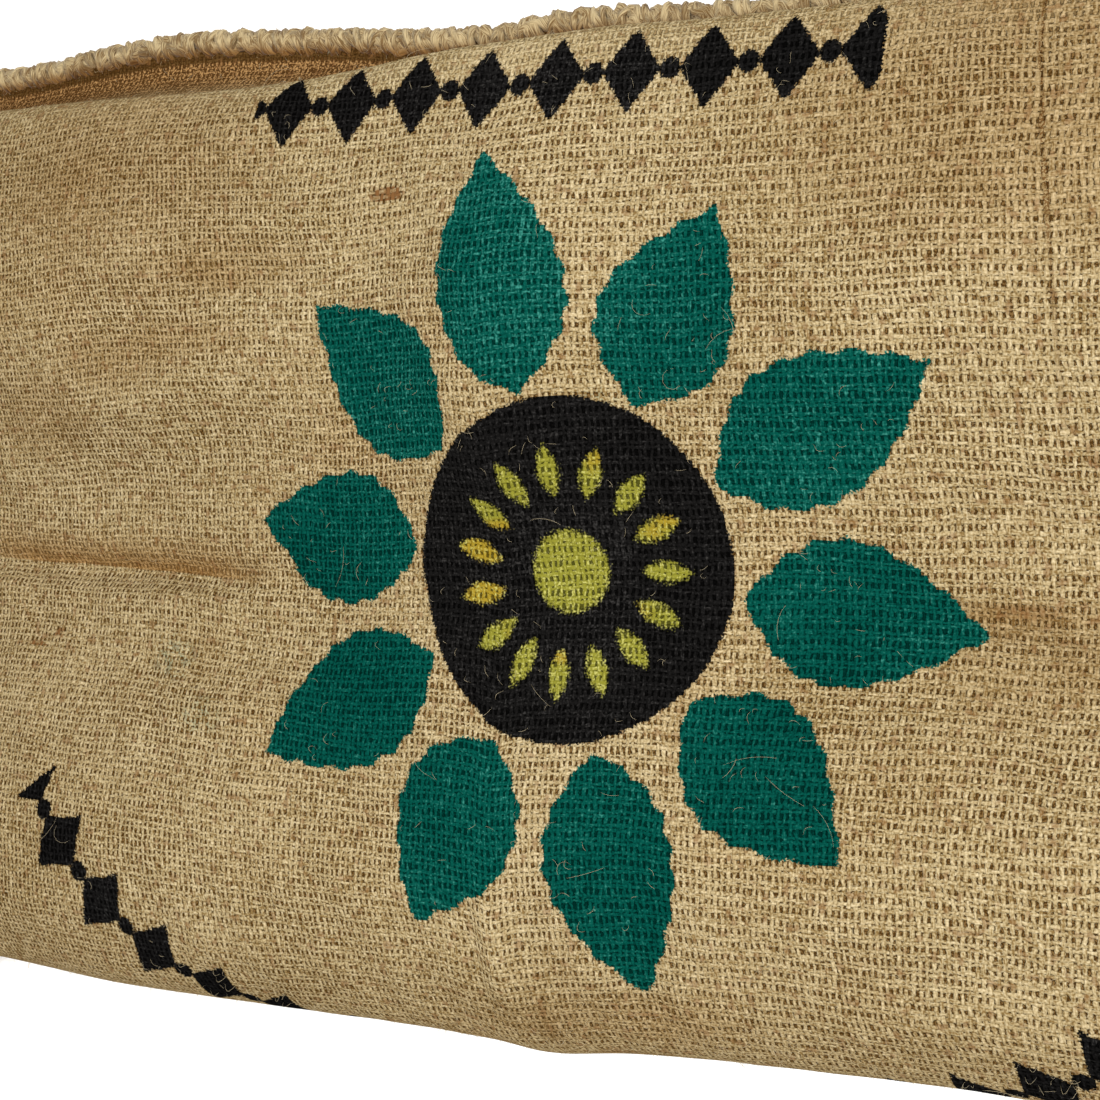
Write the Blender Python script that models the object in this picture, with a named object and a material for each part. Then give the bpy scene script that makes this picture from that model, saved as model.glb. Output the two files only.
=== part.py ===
"""A small jute sack, empty but puffed up, lying on its back with its printed front up.

Metres.  X runs along the sack from its sewn end to its open mouth, Y across it from the
folded side to the sewn side, Z up from the surface that it lies on.  One length of cloth
is folded along the low-Y side.  Its high-Y side and its low-X end are closed with
overhead stitches in thick twine, and its mouth is hemmed.
"""
import math
from collections import namedtuple

import bmesh
import bpy
import numpy as np

# Cloth
CLOTH = 0.0018          # thickness of one ply
PLY_GAP = 0.0006        # between the two plies where they are sewn together
SEAM_HALF = CLOTH + PLY_GAP / 2
FLANGE = 0.008          # width of the flat strip along the sewn side
HEM_START = 0.240       # the mouth's hem, from here to the edge
HEM_EXTRA = 0.0012      # what the turned-in hem adds to the thickness, on the inside
HEM_STEP = 0.001        # length of the ledge where the hem begins
FLOOR_CLEAR = 0.0035    # the sewn end's underside stands this high, on its stitches

# Plan
SEWN_END = -0.335
CAVITY_END = -0.325     # from here to the sewn end the two plies lie together
MOUTH = 0.262
HALF_WIDTH = 0.19       # half the sack's width where the ends are drawn in and lifted

# Stitching
TWINE_GAP = 0.0003      # between the stitches and the cloth that they wrap
STITCH_PITCH = 0.013
RINGS_A_STITCH = 3
STITCH_RIDGE = 0.0008   # how far each stitch stands up from the hollows beside it
STITCH_LEAN = 0.45      # how far a stitch leans on its way round, in pitches
SIDE_START = SEWN_END - 0.003
END_LOW_Y = -0.197
END_HIGH_Y = 0.1835

# Where the sack's sides lie.  seam is the sewn edge, horizon is the bulge's furthest
# point beside it and fold is the furthest point of the folded side.
Side = namedtuple("Side", "x seam_y seam_z horizon_y horizon_z fold_y fold_z")
SIDES = [
    Side(-0.335, 0.1920, 0.0056, 0.1680, 0.0077, -0.1950, 0.0056),
    Side(-0.325, 0.1915, 0.0056, 0.1680, 0.0077, -0.1945, 0.0056),
    Side(-0.305, 0.1865, 0.0090, 0.1660, 0.0240, -0.1860, 0.0130),
    Side(-0.278, 0.1824, 0.0150, 0.1628, 0.0420, -0.1735, 0.0230),
    Side(-0.200, 0.1856, 0.0190, 0.1597, 0.0500, -0.1768, 0.0270),
    Side(-0.124, 0.1797, 0.0210, 0.1570, 0.0520, -0.1770, 0.0280),
    Side(-0.087, 0.1751, 0.0220, 0.1582, 0.0530, -0.1768, 0.0280),
    Side(-0.044, 0.1718, 0.0230, 0.1610, 0.0550, -0.1782, 0.0280),
    Side(-0.020, 0.1735, 0.0240, 0.1613, 0.0550, -0.1805, 0.0270),
    Side(0.011, 0.1714, 0.0240, 0.1617, 0.0550, -0.1770, 0.0280),
    Side(0.050, 0.1692, 0.0240, 0.1603, 0.0540, -0.1750, 0.0285),
    Side(0.120, 0.1680, 0.0230, 0.1596, 0.0530, -0.1738, 0.0290),
    Side(0.176, 0.1682, 0.0220, 0.1600, 0.0510, -0.1760, 0.0280),
    Side(0.215, 0.1722, 0.0200, 0.1620, 0.0450, -0.1800, 0.0240),
    Side(0.245, 0.1790, 0.0170, 0.1670, 0.0360, -0.1860, 0.0190),
    Side(0.262, 0.1840, 0.0150, 0.1710, 0.0300, -0.1900, 0.0160),
]

# The two long bulges of the front and the valley between them.
Crest = namedtuple("Crest", "x upper_y upper_z valley_y valley_z lower_y lower_z")
CRESTS = [
    Crest(-0.335, 0.0950, 0.0077, -0.0120, 0.0077, -0.1120, 0.0077),
    Crest(-0.325, 0.0950, 0.0077, -0.0120, 0.0077, -0.1120, 0.0077),
    Crest(-0.305, 0.0970, 0.0340, -0.0130, 0.0260, -0.1140, 0.0340),
    Crest(-0.278, 0.1000, 0.0560, -0.0140, 0.0360, -0.1170, 0.0550),
    Crest(-0.236, 0.1000, 0.0660, -0.0150, 0.0400, -0.1170, 0.0650),
    Crest(-0.165, 0.0980, 0.0710, -0.0170, 0.0470, -0.1140, 0.0700),
    Crest(-0.100, 0.0940, 0.0700, -0.0180, 0.0540, -0.1100, 0.0710),
    Crest(-0.040, 0.0900, 0.0700, -0.0190, 0.0610, -0.1070, 0.0710),
    Crest(0.020, 0.0880, 0.0700, -0.0200, 0.0620, -0.1050, 0.0710),
    Crest(0.085, 0.0860, 0.0720, -0.0220, 0.0560, -0.1020, 0.0730),
    Crest(0.140, 0.0850, 0.0740, -0.0240, 0.0500, -0.1010, 0.0750),
    Crest(0.185, 0.0850, 0.0710, -0.0250, 0.0470, -0.1010, 0.0730),
    Crest(0.225, 0.0870, 0.0610, -0.0260, 0.0440, -0.1020, 0.0620),
    Crest(0.262, 0.0900, 0.0460, -0.0280, 0.0370, -0.1040, 0.0470),
]

# The back panel lies at back_z from foot to heel.  crisp is 2 where the sides are round
# and more where the section is nearly square.
Back = namedtuple("Back", "x foot_y heel_y back_z crisp")
BACKS = [
    Back(-0.335, -0.187, 0.150, FLOOR_CLEAR, 4.0),
    Back(-0.325, -0.187, 0.150, FLOOR_CLEAR, 4.0),
    Back(-0.305, -0.165, 0.142, 0.0010, 3.0),
    Back(-0.285, -0.150, 0.132, 0.0, 2.4),
    Back(-0.236, -0.146, 0.128, 0.0, 2.1),
    Back(0.176, -0.146, 0.124, 0.0, 2.0),
    Back(0.225, -0.158, 0.130, 0.0, 2.1),
    Back(0.262, -0.170, 0.140, 0.0, 2.3),
]

# How far each end is drawn in and lifted, halfway across.
End = namedtuple("End", "x pull lift")
ENDS = [
    End(-0.335, 0.0120, 0.0070),
    End(-0.325, 0.0120, 0.0070),
    End(-0.305, 0.0080, 0.0025),
    End(-0.290, 0.0050, 0.0),
    End(-0.250, 0.0, 0.0),
    End(0.190, 0.0, 0.0),
    End(0.262, -0.0100, 0.0),
]

# Soft ridges and troughs of the front, each along its own line.
Crease = namedtuple("Crease", "x y degrees length width height")
CREASES = [
    Crease(-0.020, 0.062, 90, 0.060, 0.034, 0.0140),
    Crease(-0.235, -0.0150, -2, 0.080, 0.007, -0.0030),
    Crease(0.165, -0.0240, -1, 0.060, 0.009, -0.0025),
    Crease(-0.190, 0.045, 12, 0.060, 0.012, 0.0025),
    Crease(-0.200, 0.020, 5, 0.070, 0.010, -0.0020),
    Crease(-0.150, 0.072, 20, 0.050, 0.014, -0.0025),
    Crease(-0.027, -0.150, 95, 0.028, 0.010, 0.0030),
    Crease(0.030, -0.140, 80, 0.030, 0.014, -0.0025),
    Crease(0.080, 0.030, 70, 0.050, 0.020, 0.0030),
    Crease(-0.285, 0.050, 25, 0.040, 0.012, -0.0030),
    Crease(-0.285, -0.080, -30, 0.040, 0.012, -0.0030),
    Crease(0.215, 0.030, -25, 0.035, 0.012, -0.0030),
]
CREASE_FADE = 0.035     # the creases fade out over this distance from the front's edges

# Points along each stretch of a section, from the sewn edge over the front to the fold
# and back along the underside.
WALL_STEPS = 3
SHOULDER_STEPS = 5
SLOPE_STEPS = 6
FOOT_STEPS = 3
FLAT_STEPS = 7
HEEL_STEPS = 3

# The stitching's section: distance out from the cloth's edge, height from its middle.
TwinePoint = namedtuple("TwinePoint", "out up")
TWINE_OUTSIDE = [
    TwinePoint(-0.0060, 0.0034),
    TwinePoint(-0.0032, 0.0043),
    TwinePoint(0.0006, 0.0039),
    TwinePoint(0.0030, 0.0),
    TwinePoint(0.0006, -0.0039),
    TwinePoint(-0.0032, -0.0043),
    TwinePoint(-0.0060, -0.0034),
]
TWINE_BACK = -0.0060
TWINE_MIDDLE = -0.0015  # the stitches swell away from a line this far out
SLOT_HALF = SEAM_HALF + TWINE_GAP
TWINE_SLOT = [
    TwinePoint(TWINE_BACK, SLOT_HALF),
    TwinePoint(TWINE_GAP, SLOT_HALF),
    TwinePoint(TWINE_GAP, -SLOT_HALF),
    TwinePoint(TWINE_BACK, -SLOT_HALF),
]


def columns_at(rows, x):
    """A table's columns at x, joined by cubics that never overshoot the rows."""
    table = np.array(rows)
    knots, values = table[:, 0], table[:, 1:]
    widths = np.diff(knots)[:, None]
    rises = np.diff(values, axis=0) / widths
    slopes = np.vstack([rises[:1], np.zeros_like(rises[1:]), rises[-1:]])
    same_way = rises[:-1] * rises[1:] > 0
    sums = np.where(same_way, rises[:-1] + rises[1:], 1.0)
    slopes[1:-1] = np.where(same_way, 2 * rises[:-1] * rises[1:] / sums, 0.0)
    i = int(np.clip(np.searchsorted(knots, x, side="right") - 1, 0, len(knots) - 2))
    t = np.clip((x - knots[i]) / widths[i, 0], 0.0, 1.0)
    return (
        values[i] * (1 + 2 * t) * (1 - t) ** 2
        + slopes[i] * widths[i, 0] * t * (1 - t) ** 2
        + values[i + 1] * t * t * (3 - 2 * t)
        + slopes[i + 1] * widths[i, 0] * t * t * (t - 1)
    )


def smoothstep(t):
    t = np.clip(t, 0.0, 1.0)
    return t * t * (3 - 2 * t)


def round_stretch(upright, level, crisp, steps):
    """From a point where the cloth stands upright to one where it lies level."""
    points = []
    for i in range(steps + 1):
        angle = math.pi / 2 * i / steps
        across = max(math.cos(angle), 0.0) ** (2 / crisp)
        up = math.sin(angle) ** (2 / crisp)
        points.append((
            level[0] + (upright[0] - level[0]) * across,
            upright[1] + (level[1] - upright[1]) * up,
        ))
    return points


def sloping_stretch(start, end, steps):
    """Between two points where the cloth lies level."""
    points = []
    for i in range(steps + 1):
        t = i / steps
        points.append((
            start[0] + (end[0] - start[0]) * t,
            start[1] + (end[1] - start[1]) * (1 - math.cos(math.pi * t)) / 2,
        ))
    return points


def crease_height(x, y, fold_y, horizon_y):
    """What the creases add to the front's height."""
    total = 0.0
    for crease in CREASES:
        angle = math.radians(crease.degrees)
        along = (x - crease.x) * math.cos(angle) + (y - crease.y) * math.sin(angle)
        across = (y - crease.y) * math.cos(angle) - (x - crease.x) * math.sin(angle)
        total += crease.height * math.exp(
            -((along / crease.length) ** 4) - (across / crease.width) ** 2
        )
    inside = smoothstep((y - fold_y) / CREASE_FADE) * smoothstep((horizon_y - y) / CREASE_FADE)
    return total * inside * smoothstep((x - CAVITY_END) / CREASE_FADE)


def section(x, inset):
    """The cloth's section at x as (y, z) points, inset from the outer face."""
    seam_y, seam_z, horizon_y, horizon_z, fold_y, fold_z = columns_at(SIDES, x)
    upper_y, upper_z, valley_y, valley_z, lower_y, lower_z = columns_at(CRESTS, x)
    foot_y, heel_y, back_z, crisp = columns_at(BACKS, x)
    root_y = seam_y - FLANGE
    root_half = max(SEAM_HALF - inset, PLY_GAP / 2)
    root_top = (root_y, seam_z + root_half)
    root_bottom = (root_y, seam_z - root_half)
    steep = smoothstep((horizon_z - seam_z - SEAM_HALF) / 0.010)
    horizon = (horizon_y - inset * steep, horizon_z - inset * (1 - steep))
    upper = (upper_y, upper_z - inset)
    valley = (valley_y, valley_z - inset)
    lower = (lower_y, lower_z - inset)
    fold = (fold_y + inset, fold_z)
    foot = (foot_y, back_z + inset)
    heel = (heel_y, back_z + inset)

    wall = round_stretch(horizon, root_top, 2.0, WALL_STEPS)[::-1]
    front = round_stretch(horizon, upper, crisp, SHOULDER_STEPS)[1:]
    front += sloping_stretch(upper, valley, SLOPE_STEPS)[1:]
    front += sloping_stretch(valley, lower, SLOPE_STEPS)[1:]
    front += round_stretch(fold, lower, crisp, SHOULDER_STEPS)[::-1][1:]
    front = [(y, z + crease_height(x, y, fold_y, horizon_y)) for y, z in front]
    under = round_stretch(fold, foot, crisp, FOOT_STEPS)[1:]
    under += sloping_stretch(foot, heel, FLAT_STEPS)[1:]
    under += sloping_stretch(heel, root_bottom, HEEL_STEPS)[1:]
    return wall + front + under


def drawn_in(x, y, z):
    """A point moved by the way the ends are drawn in and lifted halfway across."""
    pull, lift = columns_at(ENDS, x)
    share = max(0.0, 1 - (y / HALF_WIDTH) ** 2)
    return (x + pull * share, y, z + lift * share)


def outer_ring(x):
    """The cloth's outer face at x, with the sewn flange at both ends of the list."""
    seam_y, seam_z = columns_at(SIDES, x)[:2]
    points = section(x, 0.0)
    points = [(seam_y, seam_z + SEAM_HALF)] + points + [(seam_y, seam_z - SEAM_HALF)]
    return [drawn_in(x, y, z) for y, z in points]


def inner_ring(x):
    hem = HEM_EXTRA * smoothstep((x - HEM_START) / HEM_STEP)
    return [drawn_in(x, y, z) for y, z in section(x, CLOTH + hem)]


def stations():
    """Where the cloth's sections are: close together at the ends, even between."""
    sewn = [SEWN_END, CAVITY_END, -0.319, -0.312, -0.305, -0.296, -0.287, -0.278]
    mouth = [0.219, 0.231, HEM_START, HEM_START + HEM_STEP, 0.252, MOUTH]
    middle = np.linspace(sewn[-1], mouth[0], 36)[1:-1]
    return sewn + [float(x) for x in middle] + mouth


def zipped(front, back, height_of):
    """Triangles between two chains that share their last vertex."""
    faces = []
    i, j = 0, 0
    while i < len(front) - 1 or j < len(back) - 1:
        can_front = i < len(front) - 1
        can_back = j < len(back) - 1
        ahead = can_front and (not can_back or height_of(front[i + 1]) >= height_of(back[j + 1]))
        if ahead:
            corners = (front[i], front[i + 1], back[j])
            i += 1
        else:
            corners = (front[i], back[j + 1], back[j])
            j += 1
        if len(set(corners)) == 3:
            faces.append(corners)
    return faces


def make_object(name, vertices, faces, material):
    mesh = bpy.data.meshes.new(name)
    mesh.from_pydata(vertices, [], faces)
    shell = bmesh.new()
    shell.from_mesh(mesh)
    bmesh.ops.recalc_face_normals(shell, faces=shell.faces)
    shell.to_mesh(mesh)
    shell.free()
    mesh.materials.append(material)
    mesh.shade_smooth()
    mesh.set_sharp_from_angle(angle=math.radians(50))
    piece = bpy.data.objects.new(name, mesh)
    bpy.context.scene.collection.objects.link(piece)
    return piece


def make_material(name, colour, roughness):
    material = bpy.data.materials.new(name)
    material.use_nodes = True
    shader = material.node_tree.nodes["Principled BSDF"]
    shader.inputs["Base Color"].default_value = (*colour, 1.0)
    shader.inputs["Roughness"].default_value = roughness
    shader.inputs["Metallic"].default_value = 0.0
    return material


def make_cloth(material):
    """The sack's cloth as one hollow solid, open at the mouth."""
    places = stations()
    outer = [outer_ring(x) for x in places]
    inner = [inner_ring(x) for x in places[1:]]
    outer_count, inner_count = len(outer[0]), len(inner[0])
    inner_base = len(outer) * outer_count
    vertices = [p for ring in outer for p in ring] + [p for ring in inner for p in ring]

    def out(i, k):
        return i * outer_count + k % outer_count

    def inn(i, k):
        return inner_base + i * inner_count + k % inner_count

    faces = []
    for i in range(len(outer) - 1):
        for k in range(outer_count):
            faces.append((out(i, k), out(i + 1, k), out(i + 1, k + 1), out(i, k + 1)))
    for i in range(len(inner) - 1):
        for k in range(inner_count):
            faces.append((inn(i, k), inn(i, k + 1), inn(i + 1, k + 1), inn(i + 1, k)))

    # The mouth's edge, from the outer face to the inner one, and the flange's end.
    last_out, last_in = len(outer) - 1, len(inner) - 1
    for k in range(inner_count - 1):
        faces.append((
            out(last_out, k + 1), inn(last_in, k), inn(last_in, k + 1), out(last_out, k + 2)
        ))
    last = outer_count - 1
    faces.append((out(last_out, 1), out(last_out, last - 1), inn(last_in, -1), inn(last_in, 0)))
    faces.append((out(last_out, 0), out(last_out, last), out(last_out, last - 1), out(last_out, 1)))

    # The sewn end, closed outside and inside.
    fold_in = WALL_STEPS + 2 * SHOULDER_STEPS + 2 * SLOPE_STEPS
    fold_out = fold_in + 1

    def height_along(index):
        return vertices[index][1]

    front = [out(0, k) for k in range(fold_out + 1)]
    back = [out(0, k) for k in range(last, fold_out - 1, -1)]
    faces += zipped(front, back, height_along)
    front = [inn(0, k) for k in range(fold_in + 1)]
    back = [inn(0, k) for k in range(inner_count - 1, fold_in - 1, -1)]
    faces += zipped(front, back, height_along)
    return make_object("bag_cloth", vertices, faces, material)


def stitched_ring(phase):
    """The stitching's section where the row of stitches has reached phase."""
    points = []
    for k, point in enumerate(TWINE_OUTSIDE):
        turn = STITCH_LEAN * k / (len(TWINE_OUTSIDE) - 1)
        swell = STITCH_RIDGE * (1 + math.cos(2 * math.pi * (phase + turn))) / 2
        reach = math.hypot(point.out - TWINE_MIDDLE, point.up)
        scale = 1 + swell / reach
        out = TWINE_MIDDLE + (point.out - TWINE_MIDDLE) * scale
        points.append((max(out, TWINE_BACK), point.up * scale))
    return points + [(point.out, point.up) for point in TWINE_SLOT[::-1]]


def make_stitching(name, length, place, material):
    """A row of overhead stitches: place(distance, out, up) puts a section in space."""
    rings = max(2, round(length / STITCH_PITCH * RINGS_A_STITCH)) + 1
    vertices = []
    for i in range(rings):
        distance = length * i / (rings - 1)
        ring = stitched_ring(distance / STITCH_PITCH)
        vertices += [place(distance, out, up) for out, up in ring]
    count = len(TWINE_OUTSIDE) + len(TWINE_SLOT)
    faces = []
    for i in range(rings - 1):
        for k in range(count):
            a, b = i * count + k, i * count + (k + 1) % count
            faces.append((a, b, b + count, a + count))
    # Each end face joins the outside (0 to 6) with the slot (7 to 10, from below to above).
    for base in (0, (rings - 1) * count):
        for corners in ((0, 1, 9, 10), (1, 2, 9), (2, 3, 9), (3, 8, 9), (3, 4, 8),
                        (4, 5, 8), (5, 6, 7, 8)):
            faces.append(tuple(base + k for k in corners))
    return make_object(name, vertices, faces, material)


def make_side_stitching(material):
    """Along the sewn side, from the sewn end's corner to the mouth."""
    def place(distance, out, up):
        x = SIDE_START + distance
        seam_y, seam_z = columns_at(SIDES, x)[:2]
        return drawn_in(x, seam_y + out, seam_z + up)

    return make_stitching("side_stitching", MOUTH - SIDE_START, place, material)


def make_end_stitching(material):
    """Along the sewn end, from the folded side's corner to the side stitching."""
    middle_z = FLOOR_CLEAR + SEAM_HALF

    def place(distance, out, up):
        x, y, z = drawn_in(SEWN_END, END_LOW_Y + distance, middle_z)
        return (x - out, y, z + up)

    return make_stitching("end_stitching", END_HIGH_Y - END_LOW_Y, place, material)


def centre_on_floor(pieces):
    """Move the pieces so that the origin is under the middle of the sack's box."""
    points = np.array([v.co for piece in pieces for v in piece.data.vertices])
    middle = (points.min(axis=0) + points.max(axis=0)) / 2
    for piece in pieces:
        for vertex in piece.data.vertices:
            vertex.co.x -= middle[0]
            vertex.co.y -= middle[1]


def main():
    for old in list(bpy.data.objects):
        bpy.data.objects.remove(old, do_unlink=True)
    jute = make_material("jute_cloth", (0.42, 0.31, 0.16), 0.95)
    twine = make_material("jute_twine", (0.34, 0.23, 0.11), 0.95)
    pieces = [
        make_cloth(jute),
        make_side_stitching(twine),
        make_end_stitching(twine),
    ]
    centre_on_floor(pieces)


main()
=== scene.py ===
"""The looks of a small jute sack that lies on its back, puffed up and hollow.

The cloth is one thin sheet on the folds of its CAD solid.  Its weave, print, stains and
painted shade are nodes that read the place on the flat cloth, in metres, which each vertex
carries in the attribute "cloth".  The twine of both sewn edges and of the hem, and the loose
fibres, are modelled.
"""
import math

import bpy
import numpy as np
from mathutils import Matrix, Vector


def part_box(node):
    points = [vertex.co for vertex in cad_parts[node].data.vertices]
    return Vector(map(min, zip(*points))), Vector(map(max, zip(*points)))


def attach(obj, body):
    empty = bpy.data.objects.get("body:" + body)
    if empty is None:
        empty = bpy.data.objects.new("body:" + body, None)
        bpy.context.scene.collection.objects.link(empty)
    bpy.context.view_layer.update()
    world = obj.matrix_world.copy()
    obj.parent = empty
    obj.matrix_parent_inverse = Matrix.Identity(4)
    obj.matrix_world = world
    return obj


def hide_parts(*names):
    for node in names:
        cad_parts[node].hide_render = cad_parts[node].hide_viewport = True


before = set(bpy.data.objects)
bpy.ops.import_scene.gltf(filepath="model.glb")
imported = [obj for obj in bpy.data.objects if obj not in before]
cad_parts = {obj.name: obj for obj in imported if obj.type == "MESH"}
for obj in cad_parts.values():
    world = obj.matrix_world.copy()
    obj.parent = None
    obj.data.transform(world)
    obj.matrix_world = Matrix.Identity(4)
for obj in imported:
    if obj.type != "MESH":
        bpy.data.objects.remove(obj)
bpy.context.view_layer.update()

SEED = 11

# The cloth, in metres, as in the CAD
CLOTH = 0.0018
PLY_GAP = 0.0006
SEAM_HALF = CLOTH + PLY_GAP / 2
FLANGE = 0.008
FLOOR_CLEAR = 0.0035
SEWN_END = -0.335
CAVITY_END = -0.325
MOUTH = 0.262
HALF_WIDTH = 0.19
SIDE_START = SEWN_END - 0.003
END_LOW_Y = -0.197
END_HIGH_Y = 0.1835
CREASE_FADE = 0.035


def metres(rows, other=None):
    """Rows of millimetres in metres, but for one column of other numbers."""
    return [[n if i == other else n / 1000 for i, n in enumerate(row)] for row in rows]


# The form's tables are in millimetres.  Where the sack's sides lie, by x: the sewn edge, the
# bulge's furthest point beside it and the furthest point of the folded side, as y and z.
SIDES = metres([
    (-335, 192, 5.6, 168, 7.7, -195, 5.6),
    (-325, 191.5, 5.6, 168, 7.7, -194.5, 5.6),
    (-305, 186.5, 9, 166, 24, -186, 13),
    (-278, 182.4, 15, 162.8, 42, -173.5, 23),
    (-200, 185.6, 19, 159.7, 50, -176.8, 27),
    (-124, 179.7, 21, 157, 52, -177, 28),
    (-87, 175.1, 22, 158.2, 53, -176.8, 28),
    (-44, 171.8, 23, 161, 55, -178.2, 28),
    (-20, 173.5, 24, 161.3, 55, -180.5, 27),
    (11, 171.4, 24, 161.7, 55, -177, 28),
    (50, 169.2, 24, 160.3, 54, -175, 28.5),
    (120, 168, 23, 159.6, 53, -173.8, 29),
    (176, 168.2, 22, 160, 51, -176, 28),
    (215, 172.2, 20, 162, 45, -180, 24),
    (245, 179, 17, 167, 36, -186, 19),
    (262, 184, 15, 171, 30, -190, 16),
])

# The two long bulges of the front and the valley between them, by x: the upper crest, the
# valley and the lower crest, as y and z.
CRESTS = metres([
    (-335, 95, 7.7, -12, 7.7, -112, 7.7),
    (-325, 95, 7.7, -12, 7.7, -112, 7.7),
    (-305, 97, 34, -13, 26, -114, 34),
    (-278, 100, 56, -14, 36, -117, 55),
    (-236, 100, 66, -15, 40, -117, 65),
    (-165, 98, 71, -17, 47, -114, 70),
    (-100, 94, 70, -18, 54, -110, 71),
    (-40, 90, 70, -19, 61, -107, 71),
    (20, 88, 70, -20, 62, -105, 71),
    (85, 86, 72, -22, 56, -102, 73),
    (140, 85, 74, -24, 50, -101, 75),
    (185, 85, 71, -25, 47, -101, 73),
    (225, 87, 61, -26, 44, -102, 62),
    (262, 90, 46, -28, 37, -104, 47),
])

# The back panel, by x: the y where it starts to lie level beside the fold, the y where it
# ends, its height, and how square the bulges' outer sides are (2 is round).
BACKS = metres([
    (-335, -187, 150, FLOOR_CLEAR * 1000, 4),
    (-325, -187, 150, FLOOR_CLEAR * 1000, 4),
    (-305, -165, 142, 1, 3),
    (-285, -150, 132, 0, 2.4),
    (-236, -146, 128, 0, 2.1),
    (176, -146, 124, 0, 2),
    (225, -158, 130, 0, 2.1),
    (262, -170, 140, 0, 2.3),
], other=4)
ROUND = 2.0

# How far each end is drawn in and how far it is lifted, halfway across, by x.
ENDS = metres([
    (-335, 12, 7),
    (-325, 12, 7),
    (-305, 8, 2.5),
    (-290, 5, 0),
    (-250, 0, 0),
    (190, 0, 0),
    (262, -10, 0),
])

# Soft ridges and troughs of the front: the middle's x and y, the degrees that the line is
# turned from +X, and its length, width and height.  First those of the CAD.
CREASES = metres([
    (-20, 62, 90, 60, 34, 14),
    (-235, -15, -2, 80, 7, -3),
    (165, -24, -1, 60, 9, -2.5),
    (-190, 45, 12, 60, 12, 2.5),
    (-200, 20, 5, 70, 10, -2),
    (-150, 72, 20, 50, 14, -2.5),
    (-27, -150, 95, 28, 10, 3),
    (30, -140, 80, 30, 14, -2.5),
    (80, 30, 70, 50, 20, 3),
    (-285, 50, 25, 40, 12, -3),
    (-285, -80, -30, 40, 12, -3),
    (215, 30, -25, 35, 12, -3),
], other=2)
FINE_CREASES = metres([
    (-205, -16.5, -2, 85, 4.2, -3.4),
    (-205, -25.5, -2, 80, 5, 1.8),
    (150, -32, -3, 45, 5, -1.6),
    (-30, -150, 92, 30, 4.5, -2.2),
    (-22, -152, 92, 28, 5, 1.8),
    (160, 100, 93, 75, 4, -0.7),
    (-215, 90, 14, 45, 9, 1.2),
    (-130, 130, 6, 60, 8, -1),
    (60, 125, -8, 50, 10, 1),
    (-120, -90, -8, 60, 14, -1.2),
    (105, -95, 12, 50, 14, -1.2),
], other=2)

# The sheet's grid: across the front from the sewn edge to the fold, on over the back, and
# lengthwise from the sewn end to the mouth and into the hem.
FRONT_STEPS = 138
BACK_STEPS = 98
LENGTH_STEPS = 178
DENSE = 24  # points along each stretch of a section before it is spaced evenly
SHEET = 0.0012  # the visible sheet's thickness
HEM_ROUND = 0.0009  # the radius at which the hem turns in
HEM_TURN_DEGREES = (25, 60, 90, 120, 155)
HEM_ROWS = 7  # grid rows that the turned-in hem covers
FRONT_WIDTH = 0.408  # the flat cloth's width, from the fold to the sewn edge
BACK_WIDTH = 0.392
RIPPLES = 9  # the cloth's slight waves: how many are added up, and how high they are
RIPPLE = 0.0006
RIPPLE_PERIODS = (0.022, 0.075)
RIPPLE_FOLD = (0.0, 0.03)  # v where they start, and are full, beside the fold and the wall
RIPPLE_WALL = (FRONT_WIDTH - 0.03, FRONT_WIDTH - 0.08)
RIPPLE_END = (CAVITY_END, CAVITY_END + 0.05)  # the same in x


def smoothstep(t):
    t = np.clip(t, 0.0, 1.0)
    return t * t * (3 - 2 * t)


def between(value, start, full):
    """0 at start, 1 at full and smooth between."""
    return smoothstep((value - start) / (full - start))


def columns_at(rows, x):
    """A table's columns at x, joined by cubics that never overshoot the rows."""
    table = np.array(rows)
    knots, values = table[:, 0], table[:, 1:]
    widths = np.diff(knots)[:, None]
    rises = np.diff(values, axis=0) / widths
    slopes = np.vstack([rises[:1], np.zeros_like(rises[1:]), rises[-1:]])
    same_way = rises[:-1] * rises[1:] > 0
    sums = np.where(same_way, rises[:-1] + rises[1:], 1.0)
    slopes[1:-1] = np.where(same_way, 2 * rises[:-1] * rises[1:] / sums, 0.0)
    i = int(np.clip(np.searchsorted(knots, x, side="right") - 1, 0, len(knots) - 2))
    t = np.clip((x - knots[i]) / widths[i, 0], 0.0, 1.0)
    return (
        values[i] * (1 + 2 * t) * (1 - t) ** 2
        + slopes[i] * widths[i, 0] * t * (1 - t) ** 2
        + values[i + 1] * t * t * (3 - 2 * t)
        + slopes[i + 1] * widths[i, 0] * t * t * (t - 1)
    )


def round_stretch(upright, level, crisp):
    """From a point where the cloth stands upright to one where it lies level."""
    angle = np.linspace(0.0, math.pi / 2, DENSE)
    across = np.maximum(np.cos(angle), 0.0) ** (2 / crisp)
    up = np.sin(angle) ** (2 / crisp)
    y = level[0] + (upright[0] - level[0]) * across
    z = upright[1] + (level[1] - upright[1]) * up
    return np.column_stack([y, z])


def sloping_stretch(start, end):
    """Between two points where the cloth lies level."""
    t = np.linspace(0.0, 1.0, DENSE)
    y = start[0] + (end[0] - start[0]) * t
    z = start[1] + (end[1] - start[1]) * (1 - np.cos(math.pi * t)) / 2
    return np.column_stack([y, z])


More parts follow.
